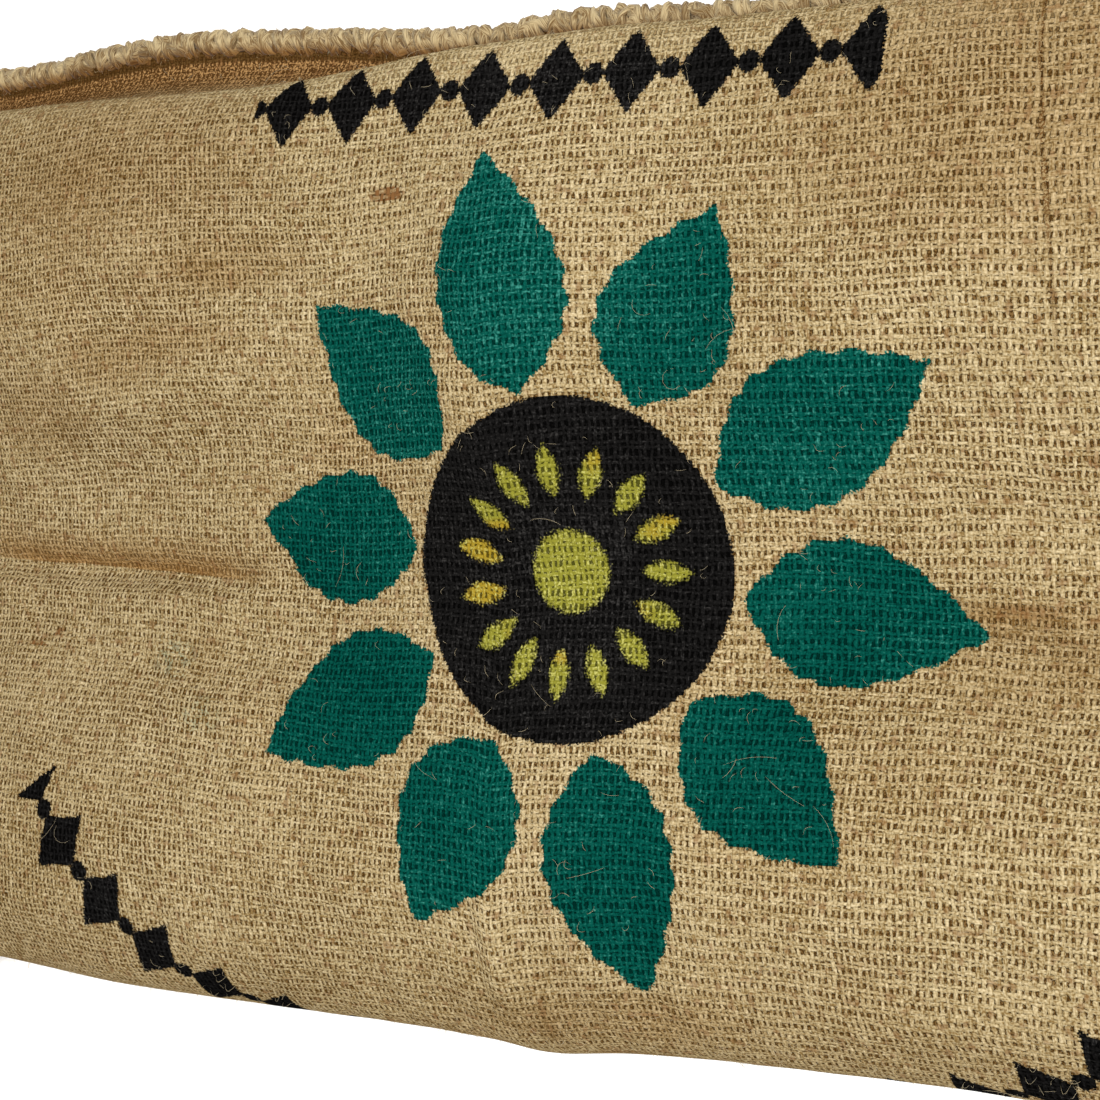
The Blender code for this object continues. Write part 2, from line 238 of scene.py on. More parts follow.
def crease_height(x, y, fold_y, side_y):
    """What the creases add to the front's height."""
    total = np.zeros_like(y)
    for middle_x, middle_y, degrees, length, width, height in CREASES + FINE_CREASES:
        cos, sin = math.cos(math.radians(degrees)), math.sin(math.radians(degrees))
        along = (x - middle_x) * cos + (y - middle_y) * sin
        across = (y - middle_y) * cos - (x - middle_x) * sin
        total += height * np.exp(-((along / length) ** 4) - (across / width) ** 2)
    inside = smoothstep((y - fold_y) / CREASE_FADE) * smoothstep((side_y - y) / CREASE_FADE)
    return total * inside * smoothstep((x - CAVITY_END) / CREASE_FADE)


def distances(points):
    """How far along a polyline each of its points is."""
    steps = np.linalg.norm(np.diff(points, axis=0), axis=1)
    return np.concatenate([[0.0], np.cumsum(steps)])


def rows_at(places, knots, rows):
    """The rows that belong to the knots, at other places between them."""
    return np.stack([np.interp(places, knots, column) for column in rows.T], axis=-1)


def evenly(points, steps):
    """A polyline's points again, at even distances along it."""
    lengths = distances(points)
    return rows_at(np.linspace(0.0, lengths[-1], steps + 1), lengths, points)


def section(x):
    """The outer face's section at x: the front's points, then the back's, as (y, z)."""
    seam, side, fold = columns_at(SIDES, x).reshape(3, 2)
    upper, valley, lower = columns_at(CRESTS, x).reshape(3, 2)
    foot_y, heel_y, back_z, crisp = columns_at(BACKS, x)
    foot, heel = (foot_y, back_z), (heel_y, back_z)
    top, bottom = seam + (0.0, SEAM_HALF), seam - (0.0, SEAM_HALF)
    flange = (FLANGE, 0.0)

    wall = round_stretch(side, top - flange, ROUND)[::-1]
    bulges = np.vstack([
        round_stretch(side, upper, crisp)[1:],
        sloping_stretch(upper, valley)[1:],
        sloping_stretch(valley, lower)[1:],
        round_stretch(fold, lower, crisp)[::-1][1:],
    ])
    bulges[:, 1] += crease_height(x, bulges[:, 0], fold[0], side[0])
    front = evenly(np.vstack([top, wall, bulges]), FRONT_STEPS)
    back = np.vstack([
        round_stretch(fold, foot, crisp),
        sloping_stretch(foot, heel)[1:],
        sloping_stretch(heel, bottom - flange)[1:],
        bottom,
    ])
    return np.vstack([front, evenly(back, BACK_STEPS)[1:]])


def drawn_in(points, x):
    """Points of the section at x, moved as the ends are drawn in and lifted."""
    pull, lift = columns_at(ENDS, x)
    share = np.maximum(0.0, 1 - (points[..., 1:2] / HALF_WIDTH) ** 2)
    return points + share * (pull, 0.0, lift)


def unit(vectors):
    return vectors / np.maximum(np.linalg.norm(vectors, axis=-1, keepdims=True), 1e-12)


def turned_level(vectors, normals, share=1.0):
    """Unit vectors after a share of their part along the normals is taken out."""
    return unit(vectors - normals * np.sum(vectors * normals, axis=-1, keepdims=True) * share)


def grid_normals(points):
    """Unit normals of a grid, away from the sack's inside."""
    return unit(np.cross(np.gradient(points, axis=1), np.gradient(points, axis=0)))


def ripples(u, v):
    """The cloth's slight waves, between -1 and 1 or so, at places on the flat cloth."""
    rng = np.random.default_rng(SEED)
    total = np.zeros_like(u)
    for _ in range(RIPPLES):
        period = rng.uniform(*RIPPLE_PERIODS)
        angle = rng.uniform(0, math.pi)
        phase = rng.uniform(0, math.tau)
        total += np.sin(math.tau * (u * math.cos(angle) + v * math.sin(angle)) / period + phase)
    return total / math.sqrt(RIPPLES)


def sheet_grid():
    """The outer face of the cloth as a grid of points, with each point's place on the
    flat cloth: u along the sack, v from the fold, positive on the front."""
    stations = np.linspace(SEWN_END, MOUTH, LENGTH_STEPS + 1)
    outer = np.array([drawn_in(np.insert(section(x), 0, x, axis=1), x) for x in stations])
    steps = np.linalg.norm(np.diff(outer, axis=0), axis=2)
    u = np.vstack([np.zeros(outer.shape[1]), np.cumsum(steps, axis=0)])
    u -= u[int(np.argmin(abs(stations)))]
    v = np.concatenate([
        np.linspace(FRONT_WIDTH, 0.0, FRONT_STEPS + 1),
        np.linspace(0.0, -BACK_WIDTH, BACK_STEPS + 1)[1:],
    ])
    v = np.tile(v, (len(stations), 1))
    lively = between(v, *RIPPLE_FOLD) * between(v, *RIPPLE_WALL)
    lively *= between(stations, *RIPPLE_END)[:, None]
    outer += grid_normals(outer) * (RIPPLE * ripples(u, v) * lively)[:, :, None]
    return outer, u, v


def with_hem(middle, u, v):
    """The sheet's middle surface and flat places with the hem's rows added."""
    normals = grid_normals(middle)
    outward = unit(middle[-1] - middle[-2])
    turns = np.radians(HEM_TURN_DEGREES)[:, None]
    out, down = HEM_ROUND * np.sin(turns), HEM_ROUND * (1 - np.cos(turns))
    bend = middle[-1] + outward * out[:, :, None] - normals[-1] * down[:, :, None]
    inside = (middle - normals * 2 * HEM_ROUND)[:-1 - HEM_ROWS:-1]
    inside_u = u[-1] + HEM_ROUND * math.pi + u[-1] - u[:-1 - HEM_ROWS:-1]
    return (
        np.concatenate([middle, bend, inside]),
        np.vstack([u, u[-1] + HEM_ROUND * turns, inside_u]),
        np.vstack([v, np.tile(v[-1], (len(turns) + HEM_ROWS, 1))]),
    )


def numbered(*shape):
    """An array of that shape, with its places numbered from 0."""
    return np.arange(math.prod(shape)).reshape(shape)


def grid_faces(rows, columns, first=0, flipped=False):
    index = first + numbered(rows, columns)
    a, b = index[:-1, :-1], index[1:, :-1]
    c, d = index[1:, 1:], index[:-1, 1:]
    corners = (a, d, c, b) if flipped else (a, b, c, d)
    return np.stack(corners, axis=-1).reshape(-1, 4)


def rim(rows, columns):
    """The indices round a grid's edge, in order."""
    index = numbered(rows, columns)
    return np.concatenate([index[0, :-1], index[:-1, -1], index[-1, :0:-1], index[:0:-1, 0]])


# The weave.  Each pair gives a number for the columns, the threads that run round the
# sack, and one for the rows, which run along it.
PITCH = (0.00212, 0.00231)
HALF = (0.405, 0.35)  # a thread's half width, as a share of its pitch
SLUB = (0.34, 0.36)  # how much that varies along the thread
TIGHT = (0.034, 0.034)  # how much it varies over centimetres
BEND = (0.48, 0.4)  # how far a thread strays between its crossings, in pitches
RAGGED = (0.24, 0.24)  # how uneven its edges are, in pitches
PAIRING = 0.16  # how far each row moves towards its neighbour, in pitches
PAIRED = (-0.42, 0.06)  # u where that starts, and is at its full
LOOSE = (-0.04, -0.15)  # u where the rows start to thin, and are at their thinnest
THINNER = (0.0, -0.036)  # by how much, as a share of the pitch
WANDERS = (17.0, 34.0)  # strays in a metre along the sack and across it
WANDER = 0.00052  # how far the threads stray, over centimetres
WAVES = 14
WAVE_SIZES = (0.4, 1.0)
HOLE_DEPTH = 0.0005
CRIMP = 0.00017  # how far a thread rises and dips as it crosses the others
THREAD_RISE = 0.00024
ROUNDED = (0.0, 0.45)  # how round a thread is where its height starts, and is full
CROSSING = 0.00003  # the height over which one thread gives way to the other
SLUBS = 250.0  # changes in a metre along a thread
APART = 7.31  # how far apart the threads lie in the noise that shapes them
ROWS_APART = 100.0  # and the rows from the columns
DRAW = 0.35  # how much of the way to a thread's middle the paint is drawn

# Slow changes over the cloth
TINTS = 13.0  # changes of tint in a metre
WEARS = 38.0
FIELD_OCTAVES = 3
FIELD_CELLS = 64
FIELD_FALL = 0.6  # each finer part of a field, as a share of the one before
FIELD_RANGE = 0.65
# how dark the soft marks of painted shade and the spots of grime make the cloth
SHADE_AND_GRIME = 0.6
GRIMY = (0.6, 0.8)  # the wear where spots of dirt start, and are full
GRIME = 0.3
END_DARKENING = (-0.13, -0.27)  # u where the sewn end starts to be tinted darker, and is tinted fully
FOLD_SHADE = (0.07, 0.015)  # painted shade beside the fold, where the cloth turns away: the same, as the distance from it
END_AND_FOLD_SHARES = (0.22, 0.36)  # how strong both are

# Marks on the flat cloth: the middle's u and v, the half length and half height, in
# millimetres, and the strength.  They are rusty bits, soft patches of painted shade and
# breaths of stray paint.
RUST_MARKS = metres([
    (-62.5, 314, 9, 2.6, 2.2),
    (172, 225, 4, 6, 0.5),
    (10, 12, 12, 5, 0.5),
    (150, 176.5, 13, 3, 0.5),
    (-242, 148.7, 7.5, 1.3, 1.2),
    (-231, 153.5, 3.5, 3, 0.9),
], other=4)
SHADE_MARKS = metres([
    (140, 172, 30, 8, 0.5),
    (170, 162, 16, 15, 0.4),
    (-10, 30, 5, 20, 0.6),
    (-180, 330, 90, 45, 0.7),
    (160, 330, 110, 65, 0.8),
    (145, 160, 40, 25, 0.4),
    (10, 35, 70, 16, 0.5),
    (-155, 288, 40, 12, 0.55),
    (-127, 294, 40, 14, 0.6),
    (-150, 269, 35, 10, 0.5),
    (-190, 260, 40, 14, 0.55),
    (-235, 242, 35, 22, 0.6),
    (160, 176, 50, 5, 0.6),
], other=4)
SPRAY_MARKS = metres([
    (19, 230, 11, 20, 0.5),
    (-170, 148, 14, 11, 0.4),
    (-150, 129, 13, 9, 0.4),
], other=4)


def soft_field(rng, x, y):
    """Random numbers about 0.5 that change over a distance of 1, with finer ones added."""
    total, shares = 0.0, 0.0
    for octave in range(FIELD_OCTAVES):
        lattice = rng.random((FIELD_CELLS, FIELD_CELLS))
        across, up = (x + FIELD_CELLS) * 2 ** octave, (y + FIELD_CELLS) * 2 ** octave
        i, k = across.astype(int), up.astype(int)
        s, t = smoothstep(across - i), smoothstep(up - k)
        here, beyond = i % FIELD_CELLS, (i + 1) % FIELD_CELLS
        low, high = (
            lattice[here, row % FIELD_CELLS] * (1 - s) + lattice[beyond, row % FIELD_CELLS] * s
            for row in (k, k + 1)
        )
        share = FIELD_FALL ** octave
        total = total + (low * (1 - t) + high * t - 0.5) * share
        shares += share
    return 0.5 + FIELD_RANGE * total / shares


def waves(rng, u, v):
    """A sum of waves, as long as the threads' strays, between -1 and 1 or so."""
    total = np.zeros_like(u)
    for _ in range(WAVES):
        angle = rng.uniform(0, math.tau)
        size = rng.uniform(*WAVE_SIZES)
        across = WANDERS[0] * math.cos(angle) * u + WANDERS[1] * math.sin(angle) * v
        total += np.sin(math.tau * size * across + rng.uniform(0, math.tau))
    return total / math.sqrt(WAVES)


def mark_field(u, v, listed):
    """How strongly any of the listed marks colours each place."""
    total = np.zeros_like(u)
    for mark_u, mark_v, long, tall, strength in listed:
        away = ((u - mark_u) / long) ** 2 + ((v - mark_v) / tall) ** 2
        total += strength * smoothstep(1 - away)
    return total


def cloth_fields(u, v):
    """What changes slowly over the flat cloth: how far the threads stray, how wide they are
    and how far the rows lie in pairs, the broad tints, the wear, and the painted shade."""
    rng = np.random.default_rng(SEED + 5)
    strays = [waves(rng, u, v) * WANDER / pitch for pitch in PITCH]
    tight = waves(rng, u, v)
    loose = between(u, *LOOSE)
    halves = [
        half - slub / 2 + tight * spread + loose * thinner
        for half, slub, spread, thinner in zip(HALF, SLUB, TIGHT, THINNER)
    ]
    pairing = PAIRING * between(u, *PAIRED)
    tints = [soft_field(rng, u * TINTS, v * TINTS) for _ in range(3)]
    wear = soft_field(rng, u * WEARS, v * WEARS)
    # painted shade of the soft marks, and spots of grime where the wear is high
    shade_and_grime = SHADE_AND_GRIME * (mark_field(u, v, SHADE_MARKS) + GRIME * between(wear, *GRIMY))
    # darker towards the sewn end, and painted shade beside the fold
    end_dark_fold_shade = between(u, *END_DARKENING) * END_AND_FOLD_SHARES[0] + between(abs(v), *FOLD_SHADE) * END_AND_FOLD_SHARES[1]
    return {
        "cloth_stray": (*strays, np.zeros_like(u)),
        "cloth_spread": (*halves, pairing),
        "cloth_tint": tints,
        "cloth_wear_and_shade": (wear, shade_and_grime, end_dark_fold_shade),
    }


def add_object(name, data):
    made = bpy.data.objects.new(name, data)
    bpy.context.scene.collection.objects.link(made)
    return made


def add_mesh(name, vertices, faces, material, **fields):
    """A mesh object whose vertices carry the fields: one or three numbers each."""
    mesh = bpy.data.meshes.new(name)
    mesh.from_pydata(vertices.tolist(), [], faces)
    for field, rows in fields.items():
        kind, values = ("FLOAT", "value") if np.ndim(rows) == 1 else ("FLOAT_VECTOR", "vector")
        attribute = mesh.attributes.new(field, kind, "POINT")
        attribute.data.foreach_set(values, np.asarray(rows, np.float32).ravel())
    mesh.materials.append(material)
    mesh.shade_smooth()
    return add_object(name, mesh)


def join_meshes(parts, lowest=0.0):
    """Several meshes as one, with no vertex below the lowest height.  Each part gives its
    vertices, its faces and perhaps more rows that go with its vertices."""
    vertices, faces, *rows = zip(*parts)
    firsts = np.cumsum([0, *map(len, vertices)]).tolist()
    joined = [[first + k for k in face] for first, part in zip(firsts, faces) for face in part]
    vertices = np.vstack(vertices)
    vertices[:, 2] = np.maximum(vertices[:, 2], lowest)
    return vertices, joined, *map(np.vstack, rows)


def make_cloth(outer, u, v, material):
    """The whole cloth as one thin closed sheet, open at its sewn edges and mouth."""
    middle = outer - grid_normals(outer) * SHEET / 2
    middle, u, v = with_hem(middle, u, v)
    offset = grid_normals(middle) * SHEET / 2
    rows, columns = middle.shape[:2]
    count = rows * columns
    vertices = np.vstack([(middle + offset).reshape(-1, 3), (middle - offset).reshape(-1, 3)])
    edge = rim(rows, columns)
    after = np.roll(edge, -1)
    faces = np.vstack([
        grid_faces(rows, columns, flipped=True),
        grid_faces(rows, columns, first=count),
        np.column_stack([after, edge, edge + count, after + count]),
    ])
    u, v = np.tile(u.ravel(), 2), np.tile(v.ravel(), 2)
    fields = {"cloth": (u, v, np.repeat([0.0, 1.0], count)), **cloth_fields(u, v)}
    fields = {field: np.column_stack(columns) for field, columns in fields.items()}
    return add_mesh("sack_cloth", vertices, faces.tolist(), material, **fields)


# Stitching.  A soft roll of strands lies round each sewn edge, and twines are wound over it,
# a few winds to a stitch: the pitch, which is negative where the twine runs the other way,
# the phase, the distance from the roll's middle, and the radius.
WINDINGS = [
    (0.0074, 0.0, 0.004, 0.00135),
    (0.0091, 2.6, 0.004, 0.00115),
    (-0.0127, 1.0, 0.00415, 0.00105),
]
WIND_STEPS = 14  # points to one wind
STITCH_PITCH = 0.0105
STITCH_SWELL = 0.1  # how much each stitch stands out over the dips beside it
SLIP = 0.002  # how far a wind strays along the edge
WIND_STRAY = 0.00022  # how far it strays from the roll
WIND_TURN_STRAY = 0.35  # and round it, in radians
ROLL_OUT = -0.0012  # where the roll's middle is, out from the cloth's edge
ROLL_STEPS = 120
ROPE_STRANDS = 7
ROPE_RADIUS = 0.0019
ROPE_REACH = 0.0026
ROPE_TURN = 0.026
ROPE_STEP = 0.0014
ROPE_STRAY = 0.0006
ROPE_TURN_STRAY = 0.5
ROPE_SOFT = 7  # points over which a strand's strays are smooth
ROLL_REACH = 0.005  # the roll's radius, twines included
TWINE_SIDES = 10
TWINE_PLIES = 3
TWINE_SWELLS = ((0.1, 410.0), (0.06, 1130.0))  # share of the radius, radians a metre
PLY_DEPTH = 0.2  # how far the plies stand out, as a share of the radius
PLY_TURN = 0.0075  # the length of one turn of the plies
ASKEW = (0.3, 0.5, 0.8)  # no twine starts off along this
CURVE_STEPS = 3  # points for each given point of a stitch
HEM_LINE = 0.0175  # the hem's stitches run this far in from the mouth
HEM_END_ROWS = 12  # the grid's last rows, which reach past that line
HEM_STITCH = 0.011
# One hem stitch: how far along it each point is, as a share, and how far above the cloth.
HEM_STITCH_LINE = [
    (0.1, -0.0009), (0.2, 0.0001), (0.38, 0.0006), (0.6, 0.0007), (0.8, 0.0001),
    (0.88, -0.0009),
]
HEM_YARNS = 7  # different looks of its stitches
HEM_TWINE_RADIUS = 0.0008
HEM_TWINE_LOWEST = 0.0009  # the middle of the twine where the sack rests on it


def smooth_line(points):
    """A line through the points, as a Catmull-Rom spline."""
    points = np.asarray(points, float)
    padded = np.vstack([2 * points[0] - points[1], points, 2 * points[-1] - points[-2]])
    t = (np.arange(CURVE_STEPS) / CURVE_STEPS)[:, None]
    line = []
    for i in range(1, len(padded) - 2):
        a, b, c, d = padded[i - 1:i + 3]
        line.append(
            b + (c - a) * t / 2 + (2 * a - 5 * b + 4 * c - d) * t ** 2 / 2
            + (3 * b - a - 3 * c + d) * t ** 3 / 2
        )
    return np.vstack(line + [points[-1:]])


def tube_faces(index):
    """The faces of closed tubes.  The last two axes of index are a tube's rings and the
    vertices round each of them."""
    low, high = index[..., :-1, :], index[..., 1:, :]
    corners = (low, np.roll(low, -1, axis=-1), np.roll(high, -1, axis=-1), high)
    caps = np.concatenate([index[..., 0, ::-1], index[..., -1, :]])
    return [
        *np.stack(corners, axis=-1).reshape(-1, 4).tolist(),
        *caps.reshape(-1, index.shape[-1]).tolist(),
    ]


def tube(path, radius, number):
    """A twisted yarn along a path: its vertices, faces and their places on the yarn."""
    lengths = distances(path)
    tangents = unit(np.gradient(path, axis=0))
    side = np.cross(tangents[0], ASKEW)
    sides = []
    for tangent in tangents:
        side = turned_level(side, tangent)
        sides.append(side)
    angle = np.linspace(0, math.tau, TWINE_SIDES, endpoint=False)
    turn = math.tau * lengths / PLY_TURN
    swell = 1.0
    for i, (share, rate) in enumerate(TWINE_SWELLS):
        swell = swell + share * np.sin(lengths * rate + (i + 1) * number)
    lobes = np.cos(TWINE_PLIES * angle[None, :] - turn[:, None])
    reach = radius * swell[:, None] * (1 + PLY_DEPTH * lobes)
    ring = (
        np.array(sides)[:, None] * (reach * np.cos(angle))[:, :, None]
        + np.cross(tangents, sides)[:, None] * (reach * np.sin(angle))[:, :, None]
    )
    shape = (len(path), TWINE_SIDES)
    faces = tube_faces(numbered(*shape))
    places = np.stack([
        np.broadcast_to(lengths[:, None], shape),
        (angle * radius)[None, :] - turn[:, None] * radius / TWINE_PLIES,
        np.full(shape, float(number)),
    ], axis=-1)
    return (path[:, None] + ring).reshape(-1, 3), faces, places.reshape(-1, 3)


def soft_noise(rng, count, width):
    """Random numbers that change little from one to the next."""
    reach = np.linspace(-2, 2, width)
    soft = np.exp(-reach ** 2)
    return np.convolve(rng.normal(0, 1, count), soft / np.linalg.norm(soft), mode="same")


def wound_line(length, place, pitch, phase, reach, rng):
    """A twine wound over the roll: place(distance, out, up) puts a point."""
    count = int(length / abs(pitch) * WIND_STEPS)
    turns = np.arange(count) / WIND_STEPS
    along = turns * abs(pitch) + SLIP * soft_noise(rng, count, 2 * WIND_STEPS)
    reach = reach * (1 + STITCH_SWELL * np.cos(math.tau * along / STITCH_PITCH))
    reach = reach + WIND_STRAY * soft_noise(rng, count, WIND_STEPS // 2)
    angle = math.tau * turns * math.copysign(1, pitch) + phase
    angle = angle + WIND_TURN_STRAY * soft_noise(rng, count, 2 * WIND_STEPS)
    out, up = ROLL_OUT + reach * np.cos(angle), reach * np.sin(angle)
    return np.array([place(*point) for point in zip(np.clip(along, 0, length), out, up)])


def rope_line(length, place, phase, rng):
    """One strand of the soft roll under the twines."""
    distances_along = np.linspace(0, length, int(length / ROPE_STEP))
    stray = [soft_noise(rng, len(distances_along), ROPE_SOFT) for _ in range(3)]
    turns = math.tau * distances_along / ROPE_TURN + phase + ROPE_TURN_STRAY * stray[0]
    out = ROLL_OUT + ROPE_REACH * np.cos(turns) + ROPE_STRAY * stray[1]
    up = ROPE_REACH * np.sin(turns) + ROPE_STRAY * stray[2]
    return np.array([place(*point) for point in zip(distances_along, out, up)])


def make_overhead_row(name, length, place, shift, material, seed, axis, outward):
    """The twines round a sewn edge that runs along an axis.  Each vertex also carries how
    far it lies towards the sack, from -1 to 1."""
    rng = np.random.default_rng(seed)
    tubes = []
    for pitch, phase, reach, radius in WINDINGS:
        line = wound_line(length, place, pitch, phase, reach, rng) + shift
        tubes.append(tube(line, radius, len(tubes)))
    for strand in range(ROPE_STRANDS):
        line = rope_line(length, place, math.tau * strand / ROPE_STRANDS, rng) + shift
        tubes.append(tube(line, ROPE_RADIUS, len(tubes)))
    vertices, faces, places = join_meshes(tubes)
    roll = [place(d, ROLL_OUT, 0.0) for d in np.linspace(0, length, ROLL_STEPS)] + shift
    roll = roll[np.argsort(roll[:, axis])]
    middle = rows_at(vertices[:, axis], roll[:, axis], roll)
    inner_side = (middle - vertices) @ outward / ROLL_REACH
    return add_mesh(name, vertices, faces, material, cloth=places, inner_side=inner_side)


def side_place(distance, out, up):
    x = SIDE_START + distance
    seam_y, seam_z = columns_at(SIDES, x)[:2]
    return drawn_in(np.array([x, seam_y + out, seam_z + up]), x)


def end_place(distance, out, up):
    middle = np.array([SEWN_END, END_LOW_Y + distance, FLOOR_CLEAR + SEAM_HALF])
    return drawn_in(middle, SEWN_END) + (-out, 0.0, up)


def make_hem_twine(outer, material):
    """The hem's row of stitches: short lengths that lie on the cloth and dip into it."""
    normals = grid_normals(outer)
    step = np.linalg.norm(np.diff(outer[-HEM_END_ROWS:], axis=0), axis=2).mean()
    row = -1 - HEM_LINE / step
    low = int(math.floor(row))
    share = row - low
    line = outer[low] * (1 - share) + outer[low + 1] * share
    line_normals = unit(normals[low] * (1 - share) + normals[low + 1] * share)
    lengths = distances(line)
    tubes = []
    for i in range(int(lengths[-1] / HEM_STITCH)):
        points = []
        for along, lift in HEM_STITCH_LINE:
            at = (i + along) * HEM_STITCH
            up = unit(rows_at(at, lengths, line_normals))
            point = rows_at(at, lengths, line) + up * lift
            points.append((*point[:2], max(point[2], HEM_TWINE_LOWEST)))
        tubes.append(tube(smooth_line(points), HEM_TWINE_RADIUS, i % HEM_YARNS))
    vertices, faces, places = join_meshes(tubes)
    return add_mesh("hem_twine", vertices, faces, material, cloth=places)


# Loose fibres on the cloth: how many, the shortest and longest, how far they rise, and the
# grid columns that they start between.
CLOTH_FIBRES = [
    (130, 0.006, 0.022, 0.0006, 4, FRONT_STEPS),
    (1500, 0.0015, 0.005, 0.0009, 4, FRONT_STEPS),
    (900, 0.002, 0.006, 0.0014, FRONT_STEPS - 12, FRONT_STEPS + 9),
]
FIBRE_RADIUS = 0.00004
FIBRE_TAPER = 0.6  # how much thinner its tip is, as a share
FIBRE_SIDES = 3
FIBRE_POINTS = 7
FIBRE_RISES = (2.0, 0.5)  # the gamma distribution of how far they rise
FIBRE_BENDS = 1.5  # how much they curl, in radians
FIBRE_JITTER = 0.0015  # how far a fibre is moved along itself
CURL_START = 0.2  # the share of its length where a fibre heads straight on
LANDING = 1.15  # how much sooner than at its tip it is down again
# Hairs that stand off the twine
HAIR_POINTS = 3
HAIR_SHARE = 7  # the twine's vertices to each hair
HAIR_LENGTHS = (0.0008, 0.0032)
HAIR_RISES = (0.0, 0.0005)
HAIR_BENDS = 1.6
HAIR_OUT = 0.5  # how much of a hair's heading is straight out
HAIR_SPREAD = 0.55  # and how much of it is random
HAIR_TILT = 0.3
HAIR_UPRIGHT = 0.9


def fibre_mesh(starts, along, up, lengths, rises, bends, points):
    """Curled fibres as thin tubes, one for each row of the arrays."""
    across = unit(np.cross(up, along))
    t = np.linspace(0, 1, points)[None, :]
    angle = bends[:, None] * (t - CURL_START)
    step = lengths[:, None] / (points - 1)
    forward = np.cumsum(np.cos(angle) * step, axis=1) - np.cos(angle[:, :1]) * step
    sideways = np.cumsum(np.sin(angle) * step, axis=1) - np.sin(angle[:, :1]) * step
    height = rises[:, None] * np.sin(math.pi * np.minimum(t * LANDING, 1.0)) + FIBRE_RADIUS
    path = (
        starts[:, None]
        + along[:, None] * forward[:, :, None]
        + across[:, None] * sideways[:, :, None]
        + up[:, None] * height[:, :, None]
    )
    tangents = unit(np.gradient(path, axis=1))
    side = unit(np.cross(tangents, up[:, None] + 0.01))
    other = np.cross(tangents, side)
    turn = np.linspace(0, math.tau, FIBRE_SIDES, endpoint=False)[:, None]
    taper = FIBRE_RADIUS * (1.0 - FIBRE_TAPER * t ** 3)[:, :, None, None]
    round_it = side[:, :, None] * np.cos(turn) + other[:, :, None] * np.sin(turn)
    vertices = path[:, :, None] + taper * round_it
    return vertices.reshape(-1, 3), tube_faces(numbered(*vertices.shape[:3]))


def make_cloth_fibres(outer, material):
    """Fibres that lie loose on the cloth, and a fuzz along its round sides."""
    rng = np.random.default_rng(SEED + 1)
    normals = grid_normals(outer)
    parts = []
    for count, shortest, longest, rise, first, last in CLOTH_FIBRES:
        i = rng.integers(2, len(outer) - 1, count)
        k = rng.integers(first, last, count)
        up = normals[i, k]
        heading = rng.normal(size=(count, 3))
        along = turned_level(heading, up)
        lengths = rng.uniform(shortest, longest, count)
        rises = rise * rng.gamma(*FIBRE_RISES, count)
        bends = rng.normal(0, FIBRE_BENDS, count)
        jitter = rng.uniform(-FIBRE_JITTER, FIBRE_JITTER, count)[:, None] * along
        parts.append(
            fibre_mesh(outer[i, k] + jitter, along, up, lengths, rises, bends, FIBRE_POINTS)
        )
    return add_mesh("cloth_fibres", *join_meshes(parts, FIBRE_RADIUS), material)


def vertex_rows(mesh, name):
    """One property of all vertices: rows of three numbers."""
    values = np.zeros(len(mesh.vertices) * 3)
    mesh.vertices.foreach_get(name, values)
    return values.reshape(-1, 3)


def make_twine_fibres(rows, material):
    """Short hairs that stand off the twine of the sewn edges."""
    rng = np.random.default_rng(SEED + 2)
    parts = []
    for row in rows:
        points, normals = vertex_rows(row.data, "co"), vertex_rows(row.data, "normal")
        count = len(points) // HAIR_SHARE
        chosen = rng.integers(0, len(points), count)
        outward = normals[chosen]
        along = unit(outward * HAIR_OUT + rng.normal(0, HAIR_SPREAD, size=(count, 3)))
        up = unit(outward + HAIR_TILT * rng.normal(size=(count, 3)))
        up = turned_level(up, along, HAIR_UPRIGHT)
        parts.append(fibre_mesh(
            points[chosen], along, up, rng.uniform(*HAIR_LENGTHS, count),
            rng.uniform(*HAIR_RISES, count), rng.normal(0, HAIR_BENDS, count), HAIR_POINTS,
        ))
    return add_mesh("twine_fibres", *join_meshes(parts, FIBRE_RADIUS), material)


def arithmetic(operation, swapped=False):
    """A method that puts a node between two numbers."""
    def method(self, other):
        values = (other, self) if swapped else (self, other)
        return self.graph.math(operation, *values)
    return method


class Value:
    """A node's output that takes part in ordinary arithmetic."""

    def __init__(self, graph, socket):
        self.graph = graph
        self.socket = socket

    def __neg__(self):
        return self * -1.0

    def __abs__(self):
        return self.graph.math("ABSOLUTE", self)

    __add__ = __radd__ = arithmetic("ADD")
    __sub__ = arithmetic("SUBTRACT")
    __rsub__ = arithmetic("SUBTRACT", swapped=True)
    __mul__ = __rmul__ = arithmetic("MULTIPLY")
    __truediv__ = arithmetic("DIVIDE")


